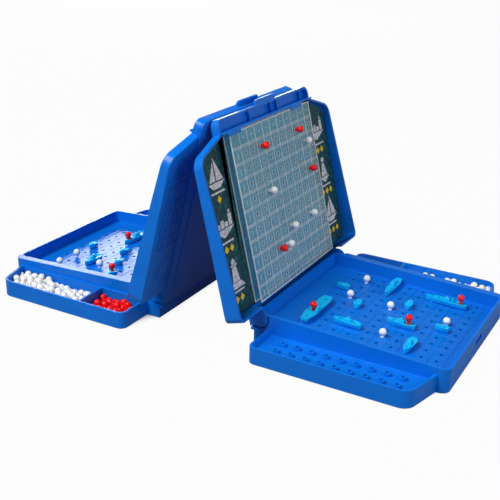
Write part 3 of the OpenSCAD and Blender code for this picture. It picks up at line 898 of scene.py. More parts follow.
        for row in range(5):
            for column in range(4):
                x, y = 188.5 + row * 4.3, 97 + column * 5.4
                pad((x, y), (x + 3, y + 3.8))
        for row in range(4):
            for column in range(4):
                x, y = 122 + row * 12.6, 94 + column * 8
                pad((x, y), (x + 9.6, y + 5.6))
        for width, depth in ((30, 30), (19, 19)):
            ring = Workpiece.rod("ring", (91.5, 104, 20), width / 2, 40, 48)
            ring.cut(Workpiece.rod("bore", (91.5, 104, 10), depth / 2 - 1.1, 60, 48))
            bars.append(ring.slice(*self.under_top(0.45)).slice(*self.inner_side(-1.2)))
        for y in (83.5, 120.5):
            pad((120, y), (184, y + 0.9))
        for x in (120, 183.1):
            pad((x, 83.5), (x + 0.9, 121.4))
        return bars[0].gather(*bars[1:])

    def model(self) -> Workpiece:
        """Model one shut lid in its case's own frame."""
        lid = self.outer().cut(*self.hollow()).cut(*self.wall_slots())
        return lid.fuse(*self.fittings()).gather(self.relief())

    def place(self, pattern: Workpiece, side: Side) -> None:
        """Copy the modelled lid to one case, swing it open and dress it."""
        settle(pattern.copy(f"{side.value}_lid_moulding"), side, f"{side.value}_lid", CASE_BLUE,
               on_lid=True, stands_for=[f"{side.value}_lid"])


# ---- target panel and card -------------------------------------------------------------


@dataclass
class TargetPanel:
    """Clear grid box over the card, in the card's frame: its front looks to lower heights."""

    low: Spot = (67.7, -74.7)
    cell: float = 14.2
    cells: int = 11
    front: float = -8.075
    back: float = -0.675
    skin: float = 1.3
    hole_radius: float = 1.8
    rib: float = 0.35

    @property
    def size(self) -> float:
        """Side of the square panel."""
        return self.cells * self.cell + 0.4

    def middle(self, i: float, j: float) -> Spot:
        """Middle of the cell at row i, column j."""
        return (self.low[0] + 0.2 + (i + 0.5) * self.cell, self.low[1] + 0.2 + (j + 0.5) * self.cell)

    def plate(self) -> Workpiece:
        """The clear front plate with its holes."""
        high = (self.low[0] + self.size, self.low[1] + self.size)
        plate = Workpiece.block("panel_plate", (*self.low, self.front), (*high, self.front + self.skin))
        plate.soften(0.3)
        x, y = self.middle(0, 1)
        punch = Workpiece.rod("panel_punch", (x, y, self.front - 1), self.hole_radius, 3.4, 16)
        return plate.cut(punch.row(self.cells - 1, (self.cell, 0, 0)).row(
            self.cells - 1, (0, self.cell, 0)))

    def walls(self) -> Workpiece:
        """The four clear side walls behind the plate."""
        return self.frame("panel_walls", 0, self.skin, self.front + self.skin + 0.02, self.back)

    def frame(self, name: str, at: float, width: float, bottom: float, top: float) -> Workpiece:
        """A square frame that follows the panel's outline.

        Args:
            name: Name of the piece.
            at: How far inside the panel's outline its outer side lies.
            width: Width of its bars.
            bottom: Height of its lower side.
            top: Height of its upper side.

        Returns:
            The frame, in the card's own plane.
        """
        low = [v + at for v in self.low]
        high = [v + self.size - at for v in self.low]
        frame = Workpiece.block(name, (*low, bottom), (*high, top))
        with editing(frame.obj):
            frame.pick(Part.FACE, lambda c, n: abs(n.z) > 0.9)
            bpy.ops.mesh.inset(thickness=width)
            bpy.ops.mesh.delete(type="FACE")
            bpy.ops.mesh.select_all(action="DESELECT")
            bpy.ops.mesh.select_mode(type="EDGE")
            bpy.ops.mesh.select_non_manifold()
            bpy.ops.mesh.bridge_edge_loops()
            bpy.ops.mesh.select_all(action="SELECT")
            bpy.ops.mesh.normals_make_consistent(inside=False)
        return frame

    def strip(self, low: Spot, high: Spot, up: float, down: float = 0.3) -> Workpiece:
        """A raised strip on the panel's front."""
        return Workpiece.block("strip", (*low, self.front - up), (*high, self.front + down))

    def ribs(self) -> Workpiece:
        """Raised lines between the cells, in pairs between the rows; their near-white finish is a painted
        highlight along them.
        """
        x0, y0 = self.low
        rows = []
        for offset in (-0.85, 0.85):
            line = self.strip((x0 + 0.2 + offset - 0.24, y0), (x0 + 0.2 + offset + 0.24, y0 + self.size),
                              self.rib)
            rows.append(line.move(Matrix.Translation((self.cell, 0, 0))).row(
                self.cells - 1, (self.cell, 0, 0)))
        column = self.strip((x0, y0 + 0.2 - 0.24), (x0 + self.size, y0 + 0.2 + 0.24), self.rib * 0.85)
        rows.append(column.move(Matrix.Translation((0, self.cell, 0))).row(
            self.cells - 1, (0, self.cell, 0)))
        return rows[0].gather(*rows[1:])

    def edges(self) -> Workpiece:
        """Painted highlights: near-white, nearly opaque frames round the front plate and round the back of the
        walls.
        """
        front = self.frame("panel_edges", -0.05, 0.8, self.front - 0.15, self.front + 0.6)
        return front.gather(self.frame("back_edge", -0.05, 0.8, self.back - 0.9, self.back - 0.02))

    def collars(self) -> Workpiece:
        """A ring round each hole and a thin square outline in each cell."""
        x, y = self.middle(0, 1)
        ring = Workpiece.rod("collar", (x, y, self.front - 0.3), self.hole_radius + 0.8, 0.5, 16)
        ring.cut(Workpiece.rod("bore", (x, y, self.front - 1), self.hole_radius + 0.15, 3, 16))
        frame = Workpiece.block("square", (x - 4.6, y - 3.4, self.front - 0.15),
                                (x + 4.6, y + 3.4, self.front + 0.1))
        frame.cut(Workpiece.block("square_inside", (x - 4.3, y - 3.1, self.front - 1),
                                  (x + 4.3, y + 3.1, self.front + 1)))
        ring.gather(frame)
        return ring.row(self.cells - 1, (self.cell, 0, 0)).row(self.cells - 1, (0, self.cell, 0))

    def marks(self) -> Workpiece:
        """Small plain bars that mark the heads of the rows and columns."""
        marks = []
        for i in range(self.cells - 1):
            x, y = self.middle(i, 0)
            marks.append(self.strip((x - 2.6, y - 0.4), (x + 2.6, y + 0.4), 0.25))
        for j in range(1, self.cells):
            x, y = self.middle(self.cells - 1, j)
            marks.append(self.strip((x - 0.4, y - 2.2), (x + 0.4, y + 2.2), 0.25))
        return marks[0].gather(*marks[1:])

    def model(self) -> dict[str, tuple[Workpiece, ClearPlastic]]:
        """Model the clear box, its raised lines and its edge frames in the shut lid; lines and edge frames carry
        painted highlights.
        """
        parts = {
            "panel_plate": (self.plate(), CLEAR_PLATE),
            "panel_walls": (self.walls(), CLEAR_WALL),
            "panel_lines": (self.ribs(), CLEAR_RIB_HIGHLIGHT),
            "panel_marks": (self.collars().gather(self.marks()), CLEAR_MARK),
            "panel_edges": (self.edges(), CLEAR_EDGE_HIGHLIGHT),
        }
        for piece, _ in parts.values():
            piece.move(SIZES.card)
        return parts

    def place(self, pattern: dict[str, tuple[Workpiece, ClearPlastic]], side: Side) -> None:
        """Copy the panel's parts to one lid and dress them."""
        for name, (piece, finish) in pattern.items():
            settle(piece.copy(f"{side.value}_{name}"), side, f"{side.value}_lid", finish, on_lid=True,
                   stands_for=[f"{side.value}_target_panel"] if name == "panel_plate" else ())


@dataclass
class ChartCard:
    """Printed card in the lid: sea ground, blue chart behind the panel, pictures at the sides."""

    thickness: float = 0.5
    chart_low: Spot = (68.2, -74.3)
    chart_high: Spot = (224, 81.4)
    ink: float = 0.06

    def sheet(self) -> Workpiece:
        """The card itself."""
        card = Workpiece.prism(
            "card", (67.7, -120.5), (224.5, 127.5), -self.thickness, 0,
            [((224.5, -78.7), (41.8, -14.5)), ((224.5, 85.9), (41.6, 14.5))],
            [(67.7, -120.5, 4), (67.7, 127.5, 4), (210, -120.5, 8), (210, 127.5, 8)])
        return card.soften(0.08, 1)

    def print_sheet(self, name: str, low: Spot, high: Spot, level: float = 1,
                    corner: float = 0) -> Workpiece:
        """A flat printed patch on the card's front."""
        corners = [(x, y, corner) for x in (low[0], high[0]) for y in (low[1], high[1])] \
            if corner else []
        return Workpiece.prism(name, low, high, -self.thickness - self.ink * level,
                               -self.thickness + 0.05, corners=corners)

    def trimmed(self, low: Spot, high: Spot, cuts: Iterable[tuple[Spot, Spot]],
                level: float = 1) -> Workpiece:
        """A printed patch cut to slanting sides."""
        return Workpiece.prism("patch", low, high, -self.thickness - self.ink * level,
                               -self.thickness + 0.05, cuts)

    def sailing_boat(self, x: float, y: float) -> list[Workpiece]:
        """Picture of a small sailing boat, X up the card."""
        return [
            self.trimmed((x - 11, y - 9), (x - 6.5, y + 10),
                         [((x - 6.5, y - 9), (-1, -1)), ((x - 6.5, y + 10), (-1, 0.7))]),
            self.trimmed((x - 5.6, y + 0.6), (x + 11, y + 8.5), [((x - 5.6, y + 8.5), (1, 2.1))]),
            self.trimmed((x - 5.6, y - 7.5), (x + 8, y - 0.6), [((x - 5.6, y - 7.5), (1, -2.0))]),
        ]

    def lighthouse(self, x: float, y: float) -> list[Workpiece]:
        """Picture of a lighthouse on a rock."""
        return [
            self.trimmed((x - 11, y - 9.5), (x - 6.5, y + 9.5),
                         [((x - 11, y - 9.5), (1, -1)), ((x - 11, y + 9.5), (1, 1))]),
            self.trimmed((x - 6, y - 4.2), (x + 5, y + 4.2),
                         [((x - 6, y - 4.2), (0.16, -1)), ((x - 6, y + 4.2), (0.16, 1))]),
            self.print_sheet("gallery", (x + 5.5, y - 3.6), (x + 6.8, y + 3.6)),
            self.trimmed((x + 7.2, y - 2.2), (x + 11.5, y + 2.2),
                         [((x + 9.4, y - 2.2), (1, -1)), ((x + 9.4, y + 2.2), (1, 1))]),
        ]

    def freighter(self, x: float, y: float) -> list[Workpiece]:
        """Picture of a loaded freighter from the side."""
        parts = [
            self.trimmed((x - 9, y - 11), (x - 3, y + 11),
                         [((x - 3, y - 11), (-1, -0.8)), ((x - 3, y + 11), (-1, 0.5))]),
            self.print_sheet("bridge", (x - 2.2, y + 5), (x + 6, y + 9)),
            self.print_sheet("funnel", (x + 6.6, y + 6), (x + 9, y + 8)),
        ]
        parts += [self.print_sheet("load", (x - 2.2, y - 9 + k * 4.5), (x + 1.4 + (k % 2) * 2, y - 5.2 + k * 4.5))
                  for k in range(3)]
        return parts

    def buoy(self, x: float, y: float) -> list[Workpiece]:
        """Picture of a harbour buoy."""
        return [
            self.trimmed((x - 10, y - 7.5), (x - 5.5, y + 7.5),
                         [((x - 5.5, y - 7.5), (-1, -0.7)), ((x - 5.5, y + 7.5), (-1, 0.7))]),
            self.trimmed((x - 4.7, y - 5), (x + 6, y + 5),
                         [((x - 4.7, y - 5), (0.32, -1)), ((x - 4.7, y + 5), (0.32, 1))]),
            self.print_sheet("lamp", (x + 7, y - 2.2), (x + 11, y + 2.2), corner=1.6),
        ]

    def bar(self, x: float, y: float, length: float) -> Workpiece:
        """A plain thin bar."""
        return self.print_sheet("bar", (x - 0.9, y - length / 2), (x + 0.9, y + length / 2), corner=0.8)

    def diamonds(self, x: float, y: float, count: int) -> list[Workpiece]:
        """A row of small diamonds."""
        made = []
        for k in range(count):
            cy = y + (k - (count - 1) / 2) * 9
            made.append(self.trimmed((x - 3.6, cy - 3.6), (x + 3.6, cy + 3.6), [
                ((x + a * 1.8, cy + b * 1.8), (a, b)) for a in (-1, 1) for b in (-1, 1)]))
        return made

    def pictures(self) -> tuple[Workpiece, Workpiece]:
        """All silver pictures and bars, and all yellow diamonds."""
        silver = []
        for picture, x, y in ((self.sailing_boat, 196, -98), (self.freighter, 150, -98),
                              (self.lighthouse, 104, -97), (self.freighter, 192, 105),
                              (self.buoy, 147, 106), (self.sailing_boat, 105, 106)):
            silver += self.enlarged(picture(x, y), x, y)
        silver += [self.bar(179, -98, 22), self.bar(134, -98, 20), self.bar(87.5, -97, 20),
                   self.bar(176, 105, 22), self.bar(131, 106, 20), self.bar(88.5, 106, 20)]
        yellow = [*self.diamonds(172.5, -98, 1), *self.diamonds(127.5, -98, 2), *self.diamonds(80.5, -97, 2),
                  *self.diamonds(169.5, 105, 2), *self.diamonds(124.5, 106, 3), *self.diamonds(81.5, 106, 3)]
        return silver[0].gather(*silver[1:]), yellow[0].gather(*yellow[1:])

    def enlarged(self, parts: list[Workpiece], x: float, y: float, factor: float = 1.25) -> list[Workpiece]:
        """A picture made larger in the card's plane about its middle."""
        grow = Matrix.Diagonal((factor, factor * 1.12, 1, 1))
        frame = Matrix.Translation((x, y, 0)) @ grow @ Matrix.Translation((-x, -y, 0))
        return [part.move(frame) for part in parts]

    def model(self) -> dict[str, tuple[Workpiece, PrintedCard | PrintInk]]:
        """Model the card and its prints in the shut lid."""
        silver, yellow = self.pictures()
        parts = {
            "card_sheet": (self.sheet(), SEA_CARD),
            "card_chart": (self.print_sheet("chart", self.chart_low, self.chart_high, corner=1), CHART_CARD),
            "card_pictures": (silver, SILVER_INK),
            "card_diamonds": (yellow, YELLOW_INK),
        }
        for piece, _ in parts.values():
            piece.move(SIZES.card)
        return parts

    def place(self, pattern: dict[str, tuple[Workpiece, PrintedCard | PrintInk]], side: Side) -> None:
        """Copy the card to one lid and dress it."""
        for name, (piece, finish) in pattern.items():
            settle(piece.copy(f"{side.value}_{name}"), side, f"{side.value}_lid", finish, on_lid=True,
                   stands_for=[f"{side.value}_card"] if name == "card_sheet" else ())


# ---- pegs ------------------------------------------------------------------------------


@dataclass
class BallPeg:
    """A peg with a ball head, a flared foot and a stem; the origin is where the foot stands."""

    ball: float = 3.5
    up: float = 5
    stem: float = 1.35
    depth: float = 4.6
    foot: float = 1.8

    def model(self, name: str, sides: int = 20, rings: int = 12, footed: bool = True) -> Workpiece:
        """Model one peg: a ball whose lower cap is drawn out to the stem.

        Args:
            name: Name of the piece.
            sides: Sides round the ball.
            rings: Rings of the ball from pole to pole.
            footed: Whether it gets the flared foot.

        Returns:
            The peg, standing on the origin.
        """
        deselect_all()
        bpy.ops.mesh.primitive_uv_sphere_add(segments=sides, ring_count=rings, radius=self.ball,
                                             location=(0, 0, self.up))
        peg = Workpiece(bpy.context.active_object, name)
        profile = [(0.9, self.stem), (0.35, self.foot), (0.02, self.foot), (0, self.stem)] if footed else []
        profile += [(0.7 - self.depth, self.stem), (-self.depth, self.stem * 0.6)]
        width = self.ball / 2
        with editing(peg.obj):
            peg.pick(Part.FACE, lambda c, n: c.z < self.up - self.ball * math.cos(math.radians(29)))
            for z, radius in profile:
                bpy.ops.mesh.extrude_region_move()
                factor = radius / width
                bpy.ops.transform.resize(value=(factor, factor, 0), center_override=(0, 0, z))
                width = radius
        return peg


@dataclass
class PegPlan:
    """Where the standing pegs of one case are."""

    side: Side
    board_white: tuple[Spot, ...]
    hits: dict[str, Spot]
    target_red: tuple[Spot, ...] = ()
    target_white: tuple[Spot, ...] = ()
    on_ship: float = 6.55

    def gathered(self, pattern: Workpiece, name: str, frames: Iterable[Matrix]) -> Workpiece:
        """Copies of the peg at several frames, as one piece."""
        pegs = [pattern.copy(name).move(frame) for frame in frames]
        return pegs[0].gather(*pegs[1:])

    def place(self, pattern: Workpiece, panel: TargetPanel) -> None:
        """Stand the pegs on board, ships and target panel."""
        tag = self.side.value
        whites = self.gathered(pattern, f"{tag}_white_board_pegs",
                               [SIZES.hole(i, j) for i, j in self.board_white])
        settle(whites, self.side, f"{tag}_board_white_pegs", PEG_WHITE,
               stands_for=[f"{tag}_board_white_pegs"], smooth=50)
        for ship, (i, j) in self.hits.items():
            peg = pattern.copy(f"{tag}_red_peg_on_{ship}")
            peg.move(SIZES.hole(i, j) @ Matrix.Translation((0, 0, self.on_ship)))
            settle(peg, self.side, f"{tag}_{ship}_hit_peg", PEG_RED,
                   stands_for=[f"{tag}_{ship}_hit_peg"], smooth=50)
        for colour, cells, finish in (("red", self.target_red, PEG_RED),
                                      ("white", self.target_white, PEG_WHITE)):
            if not cells:
                continue
            frames = [SIZES.card @ Matrix.Translation((*panel.middle(i, j), panel.front))
                      @ Matrix.Rotation(math.pi, 4, "X") for i, j in cells]
            pegs = self.gathered(pattern, f"{tag}_{colour}_shot_pegs", frames)
            settle(pegs, self.side, f"{tag}_target_{colour}_pegs", finish, on_lid=True,
                   stands_for=[f"{tag}_target_{colour}_pegs"], smooth=50)


@dataclass
class PegPile:
    """Loose pegs poured into one compartment and left to settle."""

    name: str
    finish: MouldedPlastic
    low: Spot
    high: Spot
    count: int
    seed: int
    floor: float = 3
    slant: tuple[float, float, float] | None = None
    lean: float = 1
    steps: int = 260
    length: float = 8.15
    along: tuple[float, ...] = (0.0, 0.45, 0.72, 1.0)
    widths: tuple[float, ...] = (3.5, 1.45, 1.45, 1.45)

    def pour(self) -> tuple[np.ndarray, np.ndarray]:
        """Heads and stem tips after settling under weight, walls and contact."""
        dice = np.random.default_rng(self.seed)
        n = self.count
        low, high = np.array(self.low), np.array(self.high)
        heads = np.empty((n, 3))
        spread = dice.random((n, 2))
        spread[:, 0] **= self.lean
        heads[:, :2] = low + 4 + spread * (high - low - 8)
        heads[:, 2] = self.floor + 4 + np.arange(n) * 0.35
        aim = dice.normal(size=(n, 3))
        aim /= np.linalg.norm(aim, axis=1)[:, None]
        tips = heads + aim * self.length
        part = np.array(self.along)
        radius = np.tile(np.array(self.widths), n)
        owner = np.repeat(np.arange(n), len(part))
        reach = radius[:, None] + radius[None, :]
        reach[owner[:, None] == owner[None, :]] = 0
        for step in range(self.steps):
            fall = 0.5 if step < self.steps * 0.6 else 0.12
            heads[:, 2] -= fall
            tips[:, 2] -= fall * 0.8
            for _ in range(2):
                balls = heads[:, None] + part[None, :, None] * (tips - heads)[:, None]
                flat = balls.reshape(-1, 3)
                apart = flat[:, None] - flat[None]
                distance = np.sqrt((apart ** 2).sum(-1)) + 1e-9
                deep = np.clip(reach - distance, 0, None)
                push = (apart * (deep / distance)[..., None]).sum(1) * 0.35
                room_low = low + radius[:, None]
                room_high = high - radius[:, None]
                moved = flat + push
                moved[:, :2] = np.clip(moved[:, :2], room_low, room_high)
                if self.slant:
                    a, b, c = self.slant
                    over = np.clip(moved[:, 0] * a + moved[:, 1] * b - c + radius, 0, None)
                    moved[:, 0] -= over * a
                    moved[:, 1] -= over * b
                moved[:, 2] = np.maximum(moved[:, 2], self.floor + radius)
                change = (moved - flat).reshape(n, len(part), 3)
                share = part[None, :, None]
                heads += (change * (1 - share)).sum(1) / (1 - share).sum(1) * 0.9
                tips += (change * share).sum(1) / share.sum(1) * 0.9
                middle = heads * 0.7 + tips * 0.3
                line = tips - heads
                line /= np.linalg.norm(line, axis=1)[:, None]
                heads, tips = middle - line * self.length * 0.3, middle + line * self.length * 0.7
        return heads, tips

    def model(self, loose: Workpiece, up: float) -> Workpiece:
        """Lay copies of a loose peg as they settled.

        Args:
            loose: The plain peg to copy, standing on the origin.
            up: Height of its ball's middle.

        Returns:
            The whole pile in its case's own frame.
        """
        pegs = []
        for head, tip in zip(*self.pour()):
            turn = (Vector(head) - Vector(tip)).to_track_quat("Z", "Y").to_matrix().to_4x4()
            frame = Matrix.Translation(Vector(head)) @ turn @ Matrix.Translation((0, 0, -up))
            pegs.append(loose.copy("loose_peg").move(frame))
        return pegs[0].gather(*pegs[1:])

    def place(self, pattern: Workpiece, side: Side) -> None:
        """Copy the pile to one case and dress it."""
        node = f"{side.value}_tray_{self.name}_pegs"
        settle(pattern.copy(f"{side.value}_{self.name}_pile"), side, node, self.finish,
               stands_for=[node], smooth=60)


# ---- fleet -----------------------------------------------------------------------------


@dataclass
class ShipModel:
    """A toy ship with its bow along +X, floating just over the origin."""

    kind: Hull
    beam: float = 9.9
    height: float = 6.2
    keel: float = 0.8
    flare: float = 0.56
    stations: int = 12
    bulwark: float = 0.7
    hole_radius: float = 1.8
    pin_radius: float = 1.55
    pin: float = 4.2

    @property
    def cells(self) -> int:
        """Board holes that the ship covers."""
        return self.kind.value

    @property
    def length(self) -> float:
        """Length over all."""
        return self.cells * SIZES.pitch + (1 if self.kind is Hull.CARRIER else -1.2)

    def fullness(self, s: float) -> float:
        """Part of the full beam at a station from stern (0) to bow (1)."""
        if s < 0.3:
            return 0.52 + 0.48 * math.sin(s / 0.3 * math.pi / 2)
        return max(0.07, math.cos((s - 0.3) / 0.7 * math.pi / 2) ** 0.6)

    def shaped_block(self, name: str, low: float, high: float, length: float, beam: float,
                     foot: float, plan: Callable[[float], float]) -> Workpiece:
        """A block cut into stations and drawn in to a ship's plan.

        Args:
            name: Name of the piece.
            low: Height of its underside.
            high: Height of its top.
            length: Length over all.
            beam: Full beam at the top.
            foot: Beam of the underside as a part of the top's.
            plan: Part of the beam at each station.

        Returns:
            The shaped block.
        """
        hull = Workpiece.block(name, (-length / 2, -beam / 2, low), (length / 2, beam / 2, high))
        n = self.stations
        with editing(hull.obj):
            for k in range(1, n):
                bpy.ops.mesh.select_all(action="SELECT")
                bpy.ops.mesh.bisect(plane_co=(length * (k / n - 0.5), 0, 0), plane_no=(1, 0, 0))
            for k in range(n + 1):
                x, wide = length * (k / n - 0.5), plan(k / n)
                for is_top, factor in ((True, wide), (False, wide * foot)):
                    hull.pick(Part.VERT, lambda c, m: abs(c.x - x) < 0.02
                              and (c.z > (low + high) / 2) == is_top)
                    bpy.ops.transform.resize(value=(1, factor, 1), center_override=(x, 0, 0))
        return hull

    def house(self, low: Point, high: Point, taper: float = 0.8) -> Workpiece:
        """A deckhouse that narrows upwards."""
        house = Workpiece.block("house", low, high)
        centre = [(a + b) / 2 for a, b in zip(low, high)]
        with editing(house.obj):
            house.pick(Part.FACE, lambda c, n: n.z > 0.9)
            bpy.ops.transform.resize(value=(taper, taper, 1), center_override=(*centre[:2], high[2]))
        return house.soften(0.3)

    def drum(self, x: float, y: float, z: float, radius: float, height: float) -> Workpiece:
        """A round fitting such as a funnel or a gun mount, with a rounded top."""
        drum = Workpiece.rod("drum", (x, y, z), radius, height, 20, top=radius * 0.86)
        return drum.soften(0.3)

    def hull(self) -> Workpiece:
        """The hull with its sunken deck."""
        beam = 8.2 if self.kind is Hull.PATROL_BOAT else self.beam
        hull = self.shaped_block("hull", self.keel, self.height, self.length, beam, self.flare,
                                 self.fullness)
        with editing(hull.obj):
            for k in range(self.stations + 1):
                s = k / self.stations
                x = self.length * (s - 0.5)
                hull.pick(Part.VERT, lambda c, n: abs(c.x - x) < 0.02 and c.z > 4)
                bpy.ops.transform.translate(value=(0, 0, -0.55 * (1 - s ** 2)))
            hull.pick(Part.FACE, lambda c, n: n.z > 0.8 and c.x < self.length * 0.28)
            bpy.ops.mesh.inset(thickness=self.bulwark)
            bpy.ops.mesh.extrude_region_move(TRANSFORM_OT_translate={"value": (0, 0, -0.45)})
        return hull

    def flight_deck(self) -> Workpiece:
        """The carrier's broad deck, narrowing to both ends."""
        half = self.length / 2

        def plan(s: float) -> float:
            """Part of the deck's beam at a station."""
            x = s * self.length
            return min(1, 0.57 + 0.43 * x / 6, 0.5 + 0.5 * (self.length - x) / 14)

        deck = self.shaped_block("deck", self.height - 2, self.height, 2 * half, 12, 0.9, plan)
        with editing(deck.obj):
            deck.pick(Part.FACE, lambda c, n: n.z > 0.8)
            bpy.ops.mesh.inset(thickness=0.6)
            bpy.ops.mesh.extrude_region_move(TRANSFORM_OT_translate={"value": (0, 0, -0.25)})
        return deck

    def upper_works(self) -> list[Workpiece]:
        """Deckhouses, funnels and mounts of this kind of ship."""
        deck = self.height - 0.9
        if self.kind is Hull.CARRIER:
            return [self.house((3, 3.2, deck), (11, 5.8, self.height + 3.4), 0.86),
                    self.house((5, 3.6, self.height + 3), (8, 5.4, self.height + 5.4), 0.7)]
        if self.kind is Hull.PATROL_BOAT:
            ring = Workpiece.rod("ring", (0, 0, deck - 0.4), 2.7, 1.5, 24, top=2.45)
            return [ring.soften(0.2), self.house((3.1, -1.2, deck - 0.6), (4.7, 1.2, self.height + 0.9), 0.7)]
        works = [self.house((-4, -2.2, deck), (3, 2.2, self.height + 1.8), 0.84),
                 self.house((-2.6, -1.5, self.height + 1.4), (1.4, 1.5, self.height + 3.2), 0.72)]
        if self.kind is Hull.CRUISER:
            works.append(self.drum(-6.6, 0, deck, 1.35, 3.9))
            works.append(self.drum(SIZES.pitch - 4.5, 0, deck, 1.6, 2.1))
        return works

    def model(self) -> Workpiece:
        """Model the whole ship."""
        if self.kind is Hull.CARRIER:
            ship = self.shaped_block("hull", self.keel, self.height - 1.6, self.length - 6, 10, 0.6,
                                     self.fullness)
            ship.fuse(self.flight_deck())
        else:
            ship = self.hull()
        first = -(self.cells - 1) * SIZES.pitch / 2
        for k in range(self.cells):
            ship.cut(Workpiece.rod("ship_hole", (first + k * SIZES.pitch, 0, 1.6),
                                   self.hole_radius, 20, 20))
        ship.fuse(*self.upper_works()).soften(0.16)
        ends = {first, -first}
        pins = [Workpiece.rod("ship_pin", (x, 0, -self.pin), self.pin_radius * 0.7, 0.8, 16,
                              top=self.pin_radius) for x in ends]
        for pin in pins:
            with editing(pin.obj):
                pin.pick(Part.FACE, lambda c, n: n.z > 0.9)
                bpy.ops.mesh.extrude_region_move(
                    TRANSFORM_OT_translate={"value": (0, 0, self.pin - 0.8 + 1.2)})
        return ship.gather(*pins)


@dataclass
class Fleet:
    """The ships moored on one case's board: kind, row, column and heading of each."""

    side: Side
    moorings: dict[str, tuple[Hull, float, float, float]]

    def place(self, patterns: dict[Hull, Workpiece]) -> None:
        """Copy each ship to its mooring and dress it."""
        for name, (kind, i, j, heading) in self.moorings.items():
            node = f"{self.side.value}_{name}"
            ship = patterns[kind].copy(f"{node}_model")
            ship.move(SIZES.hole(i, j) @ Matrix.Rotation(math.radians(heading), 4, "Z"))
            settle(ship, self.side, node, SHIP_BLUE, stands_for=[node])


RIGHT_FLEET = Fleet(Side.RIGHT, {
    "carrier": (Hull.CARRIER, 0, 1.5, -90),
    "cruiser_front": (Hull.CRUISER, 7, 8, 180),
    "cruiser_far": (Hull.CRUISER, 3, 8, -90),
    "destroyer_back": (Hull.DESTROYER, 2.5, 1, 180),
    "destroyer_mid": (Hull.DESTROYER, 5.5, 3, 180),
    "destroyer_front": (Hull.DESTROYER, 7, 0.5, -90),
    "patrol_boat_back": (Hull.PATROL_BOAT, 0, 6, 180),
    "patrol_boat_near": (Hull.PATROL_BOAT, 2, 4, 90),
    "patrol_boat_mid": (Hull.PATROL_BOAT, 5, 6, 90),
    "patrol_boat_front": (Hull.PATROL_BOAT, 8, 4, 180),
})
LEFT_FLEET = Fleet(Side.LEFT, {
    "cruiser": (Hull.CRUISER, 6, 1, 90),
    "destroyer": (Hull.DESTROYER, 6, 6.5, 90),
    "patrol_boat_front": (Hull.PATROL_BOAT, 8, 4, 90),
    "patrol_boat_mid": (Hull.PATROL_BOAT, 5, 4, 90),
    "patrol_boat_near": (Hull.PATROL_BOAT, 4, 6, 90),
    "patrol_boat_corner": (Hull.PATROL_BOAT, 3, 8, 90),
})
RIGHT_PEGS = PegPlan(
    Side.RIGHT, ((1, 8), (1, 5), (4, 5), (5, 1), (8, 5)),
    {"carrier": (0, 1), "cruiser": (8, 8), "destroyer": (6, 3)},
    ((9, 3), (9, 8), (6, 9), (2, 3)), ((8, 9), (6, 3), (3, 8), (3, 5), (2, 4)))
LEFT_PEGS = PegPlan(Side.LEFT, ((8, 6), (8, 8), (5, 7)), {"cruiser": (6, 2), "patrol_boat": (3, 8)})
PILES = (
    PegPile("white", PEG_WHITE, (119.4, 93.6), (219.8, 127.9), 80, 11,
            slant=(0.979, 0.203, 0.979 * 220 + 0.203 * 93.4 - 0.2), lean=0.7),
    PegPile("red", PEG_RED, (67.1, 93.6), (116.6, 127.9), 34, 5),
)


# ---- studio ----------------------------------------------------------------------------


